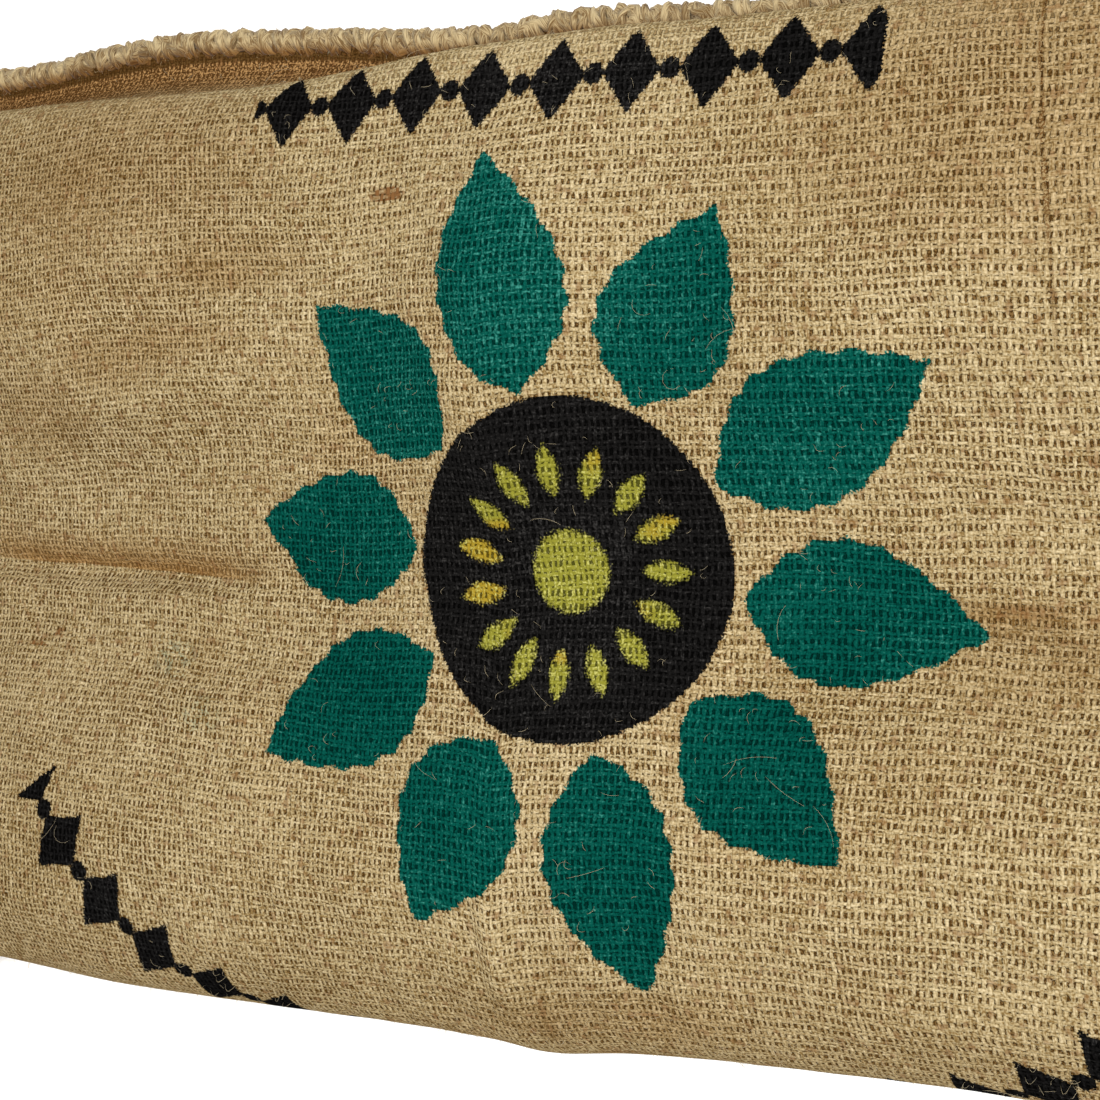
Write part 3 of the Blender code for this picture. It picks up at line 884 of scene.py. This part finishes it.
class Graph:
    """Builds one material's nodes."""

    def __init__(self, name):
        self.material = bpy.data.materials.new(name)
        self.material.use_nodes = True
        self.nodes = self.material.node_tree.nodes
        self.links = self.material.node_tree.links

    def feed(self, socket, value):
        if isinstance(value, Value):
            self.links.new(value.socket, socket)
        else:
            socket.default_value = value

    def surface(self, **inputs):
        """The finished material."""
        for name, value in inputs.items():
            self.feed(self.nodes["Principled BSDF"].inputs[name.replace("_", " ")], value)
        return self.material

    def node(self, kind, inputs, output=0, **settings):
        made = self.nodes.new(kind)
        for name, setting in settings.items():
            setattr(made, name, setting)
        for name, value in inputs.items():
            self.feed(made.inputs[name], value)
        return Value(self, made.outputs[output])

    def math(self, operation, *values):
        return self.node("ShaderNodeMath", dict(enumerate(values)), operation=operation)

    def larger(self, a, b):
        return self.math("MAXIMUM", a, b)

    def length(self, x, y):
        return self.math("SQRT", x * x + y * y)

    def vectors(self, operation, *values, output=0):
        """The same sum for several numbers at once."""
        inputs = {i: value for i, value in enumerate(values) if value is not None}
        return self.node("ShaderNodeVectorMath", inputs, output, operation=operation)

    def smooth(self, value, low, high, top=1.0):
        """0 at low, top at high and smooth between."""
        inputs = {"Value": value, "From Min": low, "From Max": high, "To Max": top}
        return self.node("ShaderNodeMapRange", inputs, interpolation_type="SMOOTHSTEP")

    def blend(self, factor, a, b):
        return self.node("ShaderNodeMix", {0: factor, 2: a, 3: b})

    def colours(self, factor, a, b, blend_type="MIX"):
        a, b = (c if isinstance(c, Value) else (*c, 1.0) for c in (a, b))
        return self.node(
            "ShaderNodeMix", {0: factor, 6: a, 7: b}, output=2,
            data_type="RGBA", blend_type=blend_type,
        )

    def tint(self, factor, colour, by):
        return self.colours(factor, colour, by, "MULTIPLY")

    def grey(self, value):
        return self.node("ShaderNodeCombineColor", {0: value, 1: value, 2: value})

    def vector(self, x, y, z=0.0):
        return self.node("ShaderNodeCombineXYZ", {0: x, 1: y, 2: z})

    def parts(self, vector):
        made = self.nodes.new("ShaderNodeSeparateXYZ")
        self.feed(made.inputs[0], vector)
        return [Value(self, output) for output in made.outputs]

    def noise(self, place, scale=1.0, detail=0.0, output=0):
        inputs = {"Vector": place, "Scale": scale, "Detail": detail}
        return self.node("ShaderNodeTexNoise", inputs, output, noise_dimensions="2D")

    def attribute(self, name, output="Vector"):
        return self.node("ShaderNodeAttribute", {}, output, attribute_name=name)

    def field(self, name):
        return self.parts(self.attribute(name))

    def bump(self, height, distance):
        inputs = {"Strength": 1.0, "Distance": distance, "Height": height}
        return self.node("ShaderNodeBump", inputs)


def weave(graph, flat, u, v, ragged):
    """A plain weave at a place on the cloth: its height in metres, whether a column shows
    there, how near the thread's middle it is, the thread's own tone, and the place drawn
    towards the thread."""
    vectors = graph.vectors

    def pair(first, second):
        return (first, second, 0.0)

    def half_turns(value):
        return vectors("SCALE", value, None, None, math.pi)

    spread = graph.attribute("cloth_spread")
    per_metre = pair(*(1 / pitch for pitch in PITCH))
    threads = vectors("MULTIPLY_ADD", flat, per_metre, graph.attribute("cloth_stray"))
    number = vectors("FLOOR", threads)
    within = vectors("FRACTION", threads)
    sign = vectors("COSINE", half_turns(number))
    column, row, _ = graph.parts(number)

    column_own = graph.vector(column * APART, v * SLUBS)
    row_own = graph.vector(row * APART + ROWS_APART, u * SLUBS)
    column_bend, column_slub, column_tone = graph.parts(graph.noise(column_own, output=1))
    row_bend, row_slub, row_tone = graph.parts(graph.noise(row_own, output=1))
    bend, slub = graph.vector(column_bend, row_bend), graph.vector(column_slub, row_slub)

    middle = pair(*(-0.5 - (b + r) / 2 for b, r in zip(BEND, RAGGED)))
    offset = vectors("ADD", within, middle)
    offset = vectors("MULTIPLY_ADD", bend, pair(*BEND), offset)
    offset = vectors("MULTIPLY_ADD", ragged, pair(*RAGGED), offset)
    pairing = graph.vector(0.0, graph.parts(spread)[2])
    offset = vectors("MULTIPLY_ADD", sign, pairing, offset)
    half = vectors("MULTIPLY_ADD", slub, pair(*SLUB), spread)
    share = vectors("DIVIDE", offset, half)
    inside = vectors("SUBTRACT", pair(1.0, 1.0), vectors("MULTIPLY", share, share))
    column_round, row_round, _ = graph.parts(vectors("MAXIMUM", inside, pair(0.0, 0.0)))

    swing = graph.parts(vectors("SINE", half_turns(within)))
    signs = graph.parts(sign)
    over = signs[0] * signs[1] * CRIMP
    column_height = over * swing[1] + (column_round * THREAD_RISE + HOLE_DEPTH)
    row_height = (row_round * THREAD_RISE + HOLE_DEPTH) - over * swing[0]
    column_height = column_height * graph.smooth(column_round, *ROUNDED)
    row_height = row_height * graph.smooth(row_round, *ROUNDED)
    height = graph.larger(column_height, row_height)

    shows = graph.smooth(column_height - row_height, -CROSSING, CROSSING)
    middle = graph.blend(shows, row_round, column_round)
    tone = graph.blend(shows, row_tone, column_tone)
    draw = pair(*(-DRAW * pitch for pitch in PITCH))
    return height, shows, middle, tone, vectors("MULTIPLY_ADD", offset, draw, flat)


# The print, in metres on the flat cloth
FLOWER_U = 0.004
FLOWER_V = 0.186
DISC = 0.057
PETALS = 10
PETALS_TURN = 0.13  # in radians
PETAL_START = 0.06
PETAL_END = 0.137
PETAL_UNEVEN = 0.05  # how much the petals' lengths differ, as a share
PETAL_ORDER = 2.4  # radians from one petal to the next in that
PETAL_HALF = 0.0235
PETAL_BLUNT = 0.85  # below 1, the widest place lies nearer the disc
PETAL_WAVE = 0.0008
PETAL_WAVES = 620.0
SEEDS = 15
SEED_MIDDLE = 0.034
SEED_HALF_LENGTH = 0.0085
SEED_HALF = 0.0034
BUTTON = 0.0135
BORDER_PITCH = 0.027
TOP_V = 0.35
TOP_U = (-0.005, 0.117)  # the middle and half length of the straight row
ARC_V = 0.262
ARC_RADIUS = 0.282
ARC_HALF_ANGLE = 0.95
LOZENGE_LONG = 0.0105
LOZENGE_TALL = 0.0155
LOZENGE_SLOPE = 0.83  # from a share of its length to the distance from its edge
DOT = 0.0038
FAR_OUT = 0.01  # a distance outside any paint


def sector(graph, angle, count, turn=0.0):
    """The angle from the nearest of count even directions, and that direction's number."""
    part = math.tau / count
    turned = (angle + turn) / part
    number = graph.math("ROUND", turned)
    return (turned - number) * part, number


def flower(graph, u, v):
    """How far inside the petals, the disc and its seeds a place is, in metres."""
    du, dv = u - FLOWER_U, v - FLOWER_V
    radius = graph.length(du, dv)
    angle = graph.math("ARCTAN2", dv, du)

    turned, number = sector(graph, angle, PETALS, PETALS_TURN)
    end = PETAL_END * (1.0 + graph.math("SINE", number * PETAL_ORDER) * PETAL_UNEVEN)
    share = (radius - PETAL_START) / (end - PETAL_START)
    inside = graph.math("COMPARE", share, 0.5, 0.5)
    bow = graph.math("POWER", graph.larger(share, 0.0), PETAL_BLUNT)
    wave = graph.math("SINE", radius * PETAL_WAVES + number) * PETAL_WAVE
    half = graph.math("SINE", bow * math.pi) * PETAL_HALF + wave
    petal = half * inside - abs(turned) * radius - (1.0 - inside) * FAR_OUT

    seed_turned, _ = sector(graph, angle, SEEDS)
    seed_out = (radius - SEED_MIDDLE) / SEED_HALF_LENGTH
    seed = (1.0 - seed_out * seed_out) * SEED_HALF - abs(seed_turned) * radius
    return petal, DISC - radius, graph.larger(seed, BUTTON - radius)


def lozenges(graph, along, off):
    """A row of lozenges with a dot between each two, along a line: how far inside."""
    place = along / BORDER_PITCH
    near = abs(place - graph.math("ROUND", place)) * BORDER_PITCH
    lozenge = 1.0 - near / LOZENGE_LONG - abs(off) / LOZENGE_TALL
    dot = DOT - graph.length(BORDER_PITCH / 2 - near, off)
    return graph.larger(lozenge * (LOZENGE_LONG * LOZENGE_SLOPE), dot)


def border(graph, u, v):
    """The straight row beside the sewn side and the arc that runs under the fold."""
    top_room = graph.math("COMPARE", u, *TOP_U)
    top = lozenges(graph, u, v - TOP_V) - (1.0 - top_room)
    du, dv = u - FLOWER_U, v - ARC_V
    angle = graph.math("ARCTAN2", du, -dv)
    low_room = graph.math("COMPARE", angle, 0.0, ARC_HALF_ANGLE)
    low = lozenges(graph, angle * ARC_RADIUS, graph.length(du, dv) - ARC_RADIUS)
    return graph.larger(top, low - (1.0 - low_room))


# Colours, as the surface's share of the light that it sends back
JUTE_PALE = (0.76, 0.615, 0.372)
JUTE_TAN = (0.5, 0.383, 0.198)
JUTE_BROWN = (0.235, 0.145, 0.048)
JUTE_RUST = (0.225, 0.105, 0.036)
# painted shade in the holes between the threads
JUTE_HOLE = (0.07, 0.033, 0.007)
HOLE_PALE = (0.185, 0.104, 0.034)
SPECK = (0.5, 0.285, 0.11)
HOLE_TURNED = (0.34, 0.235, 0.105)
# painted shade of the sewn strip under the edge
WALL_SHADE = (0.115, 0.051, 0.014)
JUTE_FIBRE = (0.64, 0.53, 0.33)
TWINE_PALE = (0.62, 0.485, 0.265)
TWINE_DARK = (0.2, 0.118, 0.044)
TEAL = (0.0018, 0.079, 0.058)
TEAL_LIGHT = (0.05, 0.275, 0.215)
TEAL_DEEP = (0.0006, 0.036, 0.027)
BLACK = (0.0086, 0.008, 0.0076)
BLACK_LIGHT = (0.048, 0.045, 0.042)
BLACK_DEEP = (0.0036, 0.0033, 0.0031)
GREEN = (0.265, 0.25, 0.03)
GREEN_LIGHT = (0.56, 0.53, 0.15)
GREEN_YELLOW = (0.36, 0.245, 0.022)
# Tints
# darker towards the sewn end, and painted shade beside the fold
END_AND_FOLD_BROWN = (0.78, 0.7, 0.6)
# painted shade in the trough at the sewn end
CREASE_SHADE_BROWN = (0.74, 0.57, 0.41)
# painted shade of the soft marks, and the spots of grime
SHADE_AND_GRIME_BROWN = (0.56, 0.42, 0.27)
WARM = (0.9, 0.74, 0.58)
PACKED_BROWN = (0.36, 0.25, 0.15)
INNER_SHADE_BROWN = (0.46, 0.3, 0.16)  # painted shade on a sewn edge's side towards the sack
ROUGH = 0.95

# How the tones come about.  A pair is where something starts and where it is full, and a
# third number says how strong it gets.
RAGGED_GRAIN = 1300.0  # changes in a metre
GRAIN = (300.0, 3400.0)  # changes in a metre along a thread's fibres and across them
TONES = (0.6, 0.9, 0.4, 0.9, -0.98)  # shares of thread, fibres, broad tint and grain; shift
TAN_TONES = (0.0, 0.55)
PALE_TONES = (0.45, 1.05)
WARM_TINTS = (0.5, 0.75, 0.5)
BIT_GRAIN = 260.0
BITS = (0.68, 0.8, 0.5)
RUST_ON_ROWS = 0.3  # the rust of the rows, as a share of the columns'
SPECKLES = (0.72, 1.5)
SPECKLE_GRAIN = 0.9
SPECKLE_MIDDLE = 0.2
THREAD_HEIGHTS = (0.00008, 0.00055)
EDGE_SHADE = 0.55  # painted shade: how light a thread's edge is, against its middle
PALE_HOLES = (0.42, 0.62)
CLOSED = 0.85  # how far the holes close up where the cloth turns away
CLOSED_CREASE = 0.7  # and in the trough's painted shade, as a share of that
GRAIN_RELIEF = 0.0001
# The same for the paint
PAINT_STRAY = (0.0016, 0.0016, 0.0)
PAINT_EDGE = (-0.0003, 0.0003)
DISC_UNEVEN = 0.008
SEED_UNEVEN = 0.002
SEED_EDGE = (-0.0009, 0.0009)
SPRAY_DOTS = (1.0, 1.25)
SPRAY_SHARE = 0.6
# painted highlight and shade of the paint, by the threads' height
PAINT_HEIGHTS = (0.0002, 0.0009, 0.5)
PAINT_TONES = (0.95, 0.8, -0.9)  # of the jute's tone and the broad tint; shift
PAINT_MIDDLE = (-0.15, 0.35)
PAINT_LIGHT = (0.42, 1.15)
YELLOW_WEAR = (0.47, 0.56)
LIGHT_GREENS = (0.45, 1.0)
GREEN_IN_HOLES = 0.45
# The thin line that the packing pressed into the cloth, which bends near the sewn side.
PACKING_U = 0.1648
PACKING_BOW = 0.0068
PACKING_BEND = (0.26, 0.365)
PACKING_V = (0.2, 0.31)  # where it starts to show, and shows fully
PACKING_EDGE = (0.001, 0.0005)  # the same, as the distance from its middle
PACKING_STRAY = 0.003
PACKING_GRAIN = (0.38, 0.6)
# The painted shade in the trough at the sewn end: where its sharp lower edge lies, how far
# above that it fades, and where along the sack it ends and starts.
CREASE_V = 0.1738
CREASE_SLOPE = -0.036
CREASE_EDGE = (-0.0003, 0.0006)
CREASE_FADES = (0.02, 0.0)
CREASE_END = (-0.118, -0.16)
CREASE_START = (-0.3, -0.25)
WALL = (0.374, 0.394)  # v where the front turns down, and is the sewn strip
TURN = (0.343, 0.366)  # v where the holes start to close up, and are closed
TURN_FOLD = (0.022, 0.0)  # the same beside the fold
UNDER_RIM = (0.3992, 0.4003, 0.85)  # v of the shadow and dirt under the sewn edge


def marks(graph, place, listed):
    """How strongly any of the listed marks colours a place."""
    total = 0.0
    for mark_u, mark_v, long, tall, strength in listed:
        scale = (1 / long, 1 / tall, 0.0)
        middle = (-mark_u / long, -mark_v / tall, 0.0)
        away = graph.vectors("MULTIPLY_ADD", place, scale, middle)
        away = graph.vectors("DOT_PRODUCT", away, away, output=1)
        total = graph.smooth(away, 1.0, 0.0, strength) + total
    return total


def cloth_material():
    graph = Graph("jute_cloth")
    smooth, colours, tint = graph.smooth, graph.colours, graph.tint
    u, v, inner = graph.field("cloth")
    flat = graph.vector(u, v)
    ragged = graph.noise(flat, RAGGED_GRAIN, output=1)
    height, shows, middle, thread_tone, near = weave(graph, flat, u, v, ragged)
    near_u, near_v, _ = graph.parts(near)

    # The bare jute: each thread has its own tone, its fibres run along it
    long, short = GRAIN
    fibre_u = graph.blend(shows, u * long, u * short)
    fibre_v = graph.blend(shows, v * short, v * long)
    streak = graph.noise(graph.vector(fibre_u, fibre_v), 1.0, 1.0)
    broad = graph.field("cloth_tint")
    wear, shade_and_grime, end_dark_fold_shade = graph.field("cloth_wear_and_shade")
    fine = graph.parts(ragged)[2]
    tone = TONES[-1]
    for value, share in zip((thread_tone, streak, broad[0], fine), TONES):
        tone = value * share + tone
    jute = colours(smooth(tone, *TAN_TONES), JUTE_BROWN, JUTE_TAN)
    jute = colours(smooth(tone, *PALE_TONES), jute, JUTE_PALE)
    jute = tint(smooth(broad[1], *WARM_TINTS), jute, WARM)

    bits = graph.noise(near, BIT_GRAIN)
    rust = marks(graph, near, RUST_MARKS) * graph.blend(shows, RUST_ON_ROWS, 1.0)
    rust = rust + smooth(bits, *BITS)
    # painted shade along the trough at the sewn end
    past = near_v - near_u * CREASE_SLOPE - CREASE_V
    crease_shade = smooth(past, *CREASE_EDGE) * smooth(past, *CREASE_FADES)
    crease_shade = crease_shade * smooth(u, *CREASE_END) * smooth(u, *CREASE_START)
    wall = smooth(v, *WALL)
    speckled = smooth(tone + fine * SPECKLE_GRAIN + middle * SPECKLE_MIDDLE, *SPECKLES)
    # the sewn strip is painted in shade: dark brown, with lighter specks on the threads' tops
    jute = colours(wall, jute, colours(speckled, WALL_SHADE, SPECK))
    jute = colours(smooth(v, *UNDER_RIM), jute, JUTE_HOLE)
    # painted shade of the soft marks, with spots of grime
    jute = tint(shade_and_grime, jute, SHADE_AND_GRIME_BROWN)
    # darker towards the sewn end, and painted shade beside the fold
    jute = tint(end_dark_fold_shade, jute, END_AND_FOLD_BROWN)
    jute = colours(rust, jute, JUTE_RUST)
    line_u = PACKING_U - smooth(v, *PACKING_BEND) * PACKING_BOW
    packed = abs(near_u - line_u + (wear - 0.5) * PACKING_STRAY)
    packed = smooth(packed, *PACKING_EDGE) * (1.0 - wall)
    packed = packed * smooth(v, *PACKING_V) * smooth(fine, *PACKING_GRAIN)

    # The paint follows the threads, so its edges are stepped and fuzzy
    strayed = graph.vectors("MULTIPLY_ADD", ragged, PAINT_STRAY, near)
    paint_u, paint_v, _ = graph.parts(strayed)
    petal, disc, seed = flower(graph, paint_u, paint_v)
    outside = 1.0 - inner
    teal = smooth(petal, *PAINT_EDGE) * outside
    disc = disc + (broad[2] - 0.5) * DISC_UNEVEN
    black = smooth(graph.larger(disc, border(graph, paint_u, paint_v)), *PAINT_EDGE) * outside
    green = smooth(seed + (fine - 0.5) * SEED_UNEVEN, *SEED_EDGE) * black
    spray = marks(graph, flat, SPRAY_MARKS) * smooth(fine + bits, *SPRAY_DOTS) * outside
    # The paint is lighter on the threads' tops and deeper in the holes: painted highlight and
    # shade, mixed with the jute's own tone and the broad tint
    of_tone, of_broad, shift = PAINT_TONES
    paint_tone = smooth(height, *PAINT_HEIGHTS) + tone * of_tone + broad[2] * of_broad + shift

    def painted(deep, colour, light):
        low = colours(smooth(paint_tone, *PAINT_MIDDLE), deep, colour)
        return colours(smooth(paint_tone, *PAINT_LIGHT), low, light)

    jute = colours(spray * SPRAY_SHARE, jute, TEAL_LIGHT)
    colour = colours(teal, jute, painted(TEAL_DEEP, TEAL, TEAL_LIGHT))
    colour = colours(black, colour, painted(BLACK_DEEP, BLACK, BLACK_LIGHT))
    leafy = colours(smooth(wear, *YELLOW_WEAR), GREEN, GREEN_YELLOW)
    leafy = colours(smooth(tone, *LIGHT_GREENS), leafy, GREEN_LIGHT)
    on_thread = smooth(height, *THREAD_HEIGHTS)
    colour = colours(green * graph.blend(on_thread, GREEN_IN_HOLES, 1.0), colour, leafy)

    # Painted shade: the holes are dark, and close up where the cloth turns away, and each
    # thread darkens towards its edges
    turned = smooth(abs(v), *TURN_FOLD) + crease_shade * CLOSED_CREASE + smooth(v, *TURN)
    hole = colours(smooth(fine, *PALE_HOLES), JUTE_HOLE, HOLE_PALE)
    hole = colours(turned * CLOSED, hole, HOLE_TURNED)
    # the sewn strip's painted shade in its holes too
    hole = colours(wall, hole, WALL_SHADE)
    colour = tint(1.0, colour, graph.grey(graph.blend(middle, EDGE_SHADE, 1.0)))
    colour = colours(graph.larger(on_thread, graph.larger(teal, black)), hole, colour)
    colour = tint(packed, colour, PACKED_BROWN)
    # painted shade in the trough at the sewn end
    colour = tint(crease_shade, colour, CREASE_SHADE_BROWN)
    normal = graph.bump(height + fine * GRAIN_RELIEF, 1.0)
    return graph.surface(
        Base_Color=colour, Roughness=ROUGH, Specular_IOR_Level=0.0, Normal=normal
    )


# The twine: changes in a metre along it and round it, and how far apart the yarns lie in
# the noise; then the shares of both noises in its tone
TWINE_GRAIN = (260.0, 2600.0, 17.0)
TWINE_SLOW_GRAIN = (55.0, 5.0)
TWINE_TONE_SHARES = (1.3, 1.1)
TWINE_TONES = (0.2, 0.8)
TWINE_INNER = (-0.1, 0.9)  # how far towards the sack its painted shade starts, and is full
TWINE_RELIEF = 0.00022
TWINE_GLOSS = 0.1


def twine_material():
    """Twisted jute yarn; its places run along it, round it and number the yarn."""
    graph = Graph("jute_twine")
    along, around, number = graph.field("cloth")
    rates, slow_rates = TWINE_GRAIN, TWINE_SLOW_GRAIN
    around = around * rates[1] + number * rates[2]
    fibre = graph.noise(graph.vector(along * rates[0], around), 1.0, 2.0)
    slow = graph.noise(graph.vector(along * slow_rates[0], number * slow_rates[1]), 1.0, 2.0)
    tone = (fibre - 0.5) * TWINE_TONE_SHARES[0] + (slow - 0.5) * TWINE_TONE_SHARES[1] + 0.5
    colour = graph.colours(graph.smooth(tone, *TWINE_TONES), TWINE_DARK, TWINE_PALE)
    # painted shade on the twine's side towards the sack
    inner_side = graph.attribute("inner_side", "Fac")
    colour = graph.tint(graph.smooth(inner_side, *TWINE_INNER), colour, INNER_SHADE_BROWN)
    return graph.surface(
        Base_Color=colour, Roughness=ROUGH, Specular_IOR_Level=TWINE_GLOSS,
        Sheen_Weight=TWINE_GLOSS, Normal=graph.bump(fibre, TWINE_RELIEF),
    )


FIBRE_ROUGH = 0.8


def build_sack():
    shift = np.array([
        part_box("side_stitching")[0][0] - SIDE_START,
        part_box("bag_cloth")[0][1] - min(fold_y for *_, fold_y, _ in SIDES),
        0.0,
    ])
    outer, u, v = sheet_grid()
    outer += shift
    twine = twine_material()
    fibre = Graph("jute_fibre").surface(Base_Color=(*JUTE_FIBRE, 1.0), Roughness=FIBRE_ROUGH)

    sack = make_cloth(outer, u, v, cloth_material())
    side_twine = make_overhead_row(
        "side_twine", MOUTH - SIDE_START, side_place, shift, twine, SEED + 3, 0, (0.0, 1.0, 0.0)
    )
    end_twine = make_overhead_row(
        "end_twine", END_HIGH_Y - END_LOW_Y, end_place, shift, twine, SEED + 4, 1,
        (-1.0, 0.0, 0.0),
    )
    hem_twine = make_hem_twine(outer, twine)
    cloth_fibres = make_cloth_fibres(outer, fibre)
    twine_fibres = make_twine_fibres([side_twine, end_twine], fibre)

    for piece in (sack, side_twine, end_twine, hem_twine, cloth_fibres, twine_fibres):
        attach(piece, "root")
    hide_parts("bag_cloth")
    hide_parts("side_stitching")
    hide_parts("end_stitching")


# The photo's camera, in the row frame: it looks down at the sack, tilted from straight
# above towards the mouth, with +Y at the top of the picture.
CAMERA_TARGET = (0.03825, 0.00076, 0.07)
CAMERA_TILT = math.radians(29)
CAMERA_DISTANCE = 0.674
PHOTO_PIXELS = 1100
FOCAL_PIXELS = 2100
SENSOR = 36.0
CENTRE_RISE_PIXELS = 25
# The lights: name, place, size and power.
LIGHTS = [
    ("key", (0.46, -0.04, 1.48), 0.8, 23.4),
    ("fill", (-0.12, 0.50, 1.60), 1.2, 4.2),
]
WORLD_LIGHT = 0.3
FLOOR_HALF = 3.0
FLOOR_Z = -0.0005
FLOOR_GREY = (0.8, 0.8, 0.8, 1.0)
FLOOR_ROUGH = 0.8
FLOOR_GLOW = 0.45
WHITE = (1.0, 1.0, 1.0, 1.0)


def add_camera():
    data = bpy.data.cameras.new("photo_camera")
    data.sensor_width = SENSOR
    data.lens = SENSOR * FOCAL_PIXELS / PHOTO_PIXELS
    data.shift_y = -CENTRE_RISE_PIXELS / PHOTO_PIXELS
    camera = add_object("photo_camera", data)
    camera.location = (
        CAMERA_TARGET[0] + CAMERA_DISTANCE * math.sin(CAMERA_TILT),
        CAMERA_TARGET[1],
        CAMERA_TARGET[2] + CAMERA_DISTANCE * math.cos(CAMERA_TILT),
    )
    camera.rotation_euler = (0.0, CAMERA_TILT, 0.0)
    bpy.context.scene.camera = camera


def add_area_light(name, place, size, power):
    data = bpy.data.lights.new(name, "AREA")
    data.size = size
    data.energy = power
    light = add_object(name, data)
    light.location = place
    light.rotation_euler = (-Vector(place)).to_track_quat("-Z", "Y").to_euler()


def add_floor():
    mesh = bpy.data.meshes.new("floor")
    low, high = -FLOOR_HALF, FLOOR_HALF
    corners = [(low, low), (high, low), (high, high), (low, high)]
    mesh.from_pydata([(*corner, FLOOR_Z) for corner in corners], [], [(0, 1, 2, 3)])
    floor = add_object("floor", mesh)
    mesh.materials.append(Graph("floor_white").surface(
        Base_Color=FLOOR_GREY, Roughness=FLOOR_ROUGH,
        Emission_Color=WHITE, Emission_Strength=FLOOR_GLOW,
    ))


def add_world():
    world = bpy.data.worlds.new("studio")
    world.use_nodes = True
    background = world.node_tree.nodes["Background"]
    background.inputs["Color"].default_value = WHITE
    background.inputs["Strength"].default_value = WORLD_LIGHT
    bpy.context.scene.world = world


build_sack()
add_floor()
add_world()
add_camera()
for light in LIGHTS:
    add_area_light(*light)
bpy.context.scene.view_settings.view_transform = "Standard"
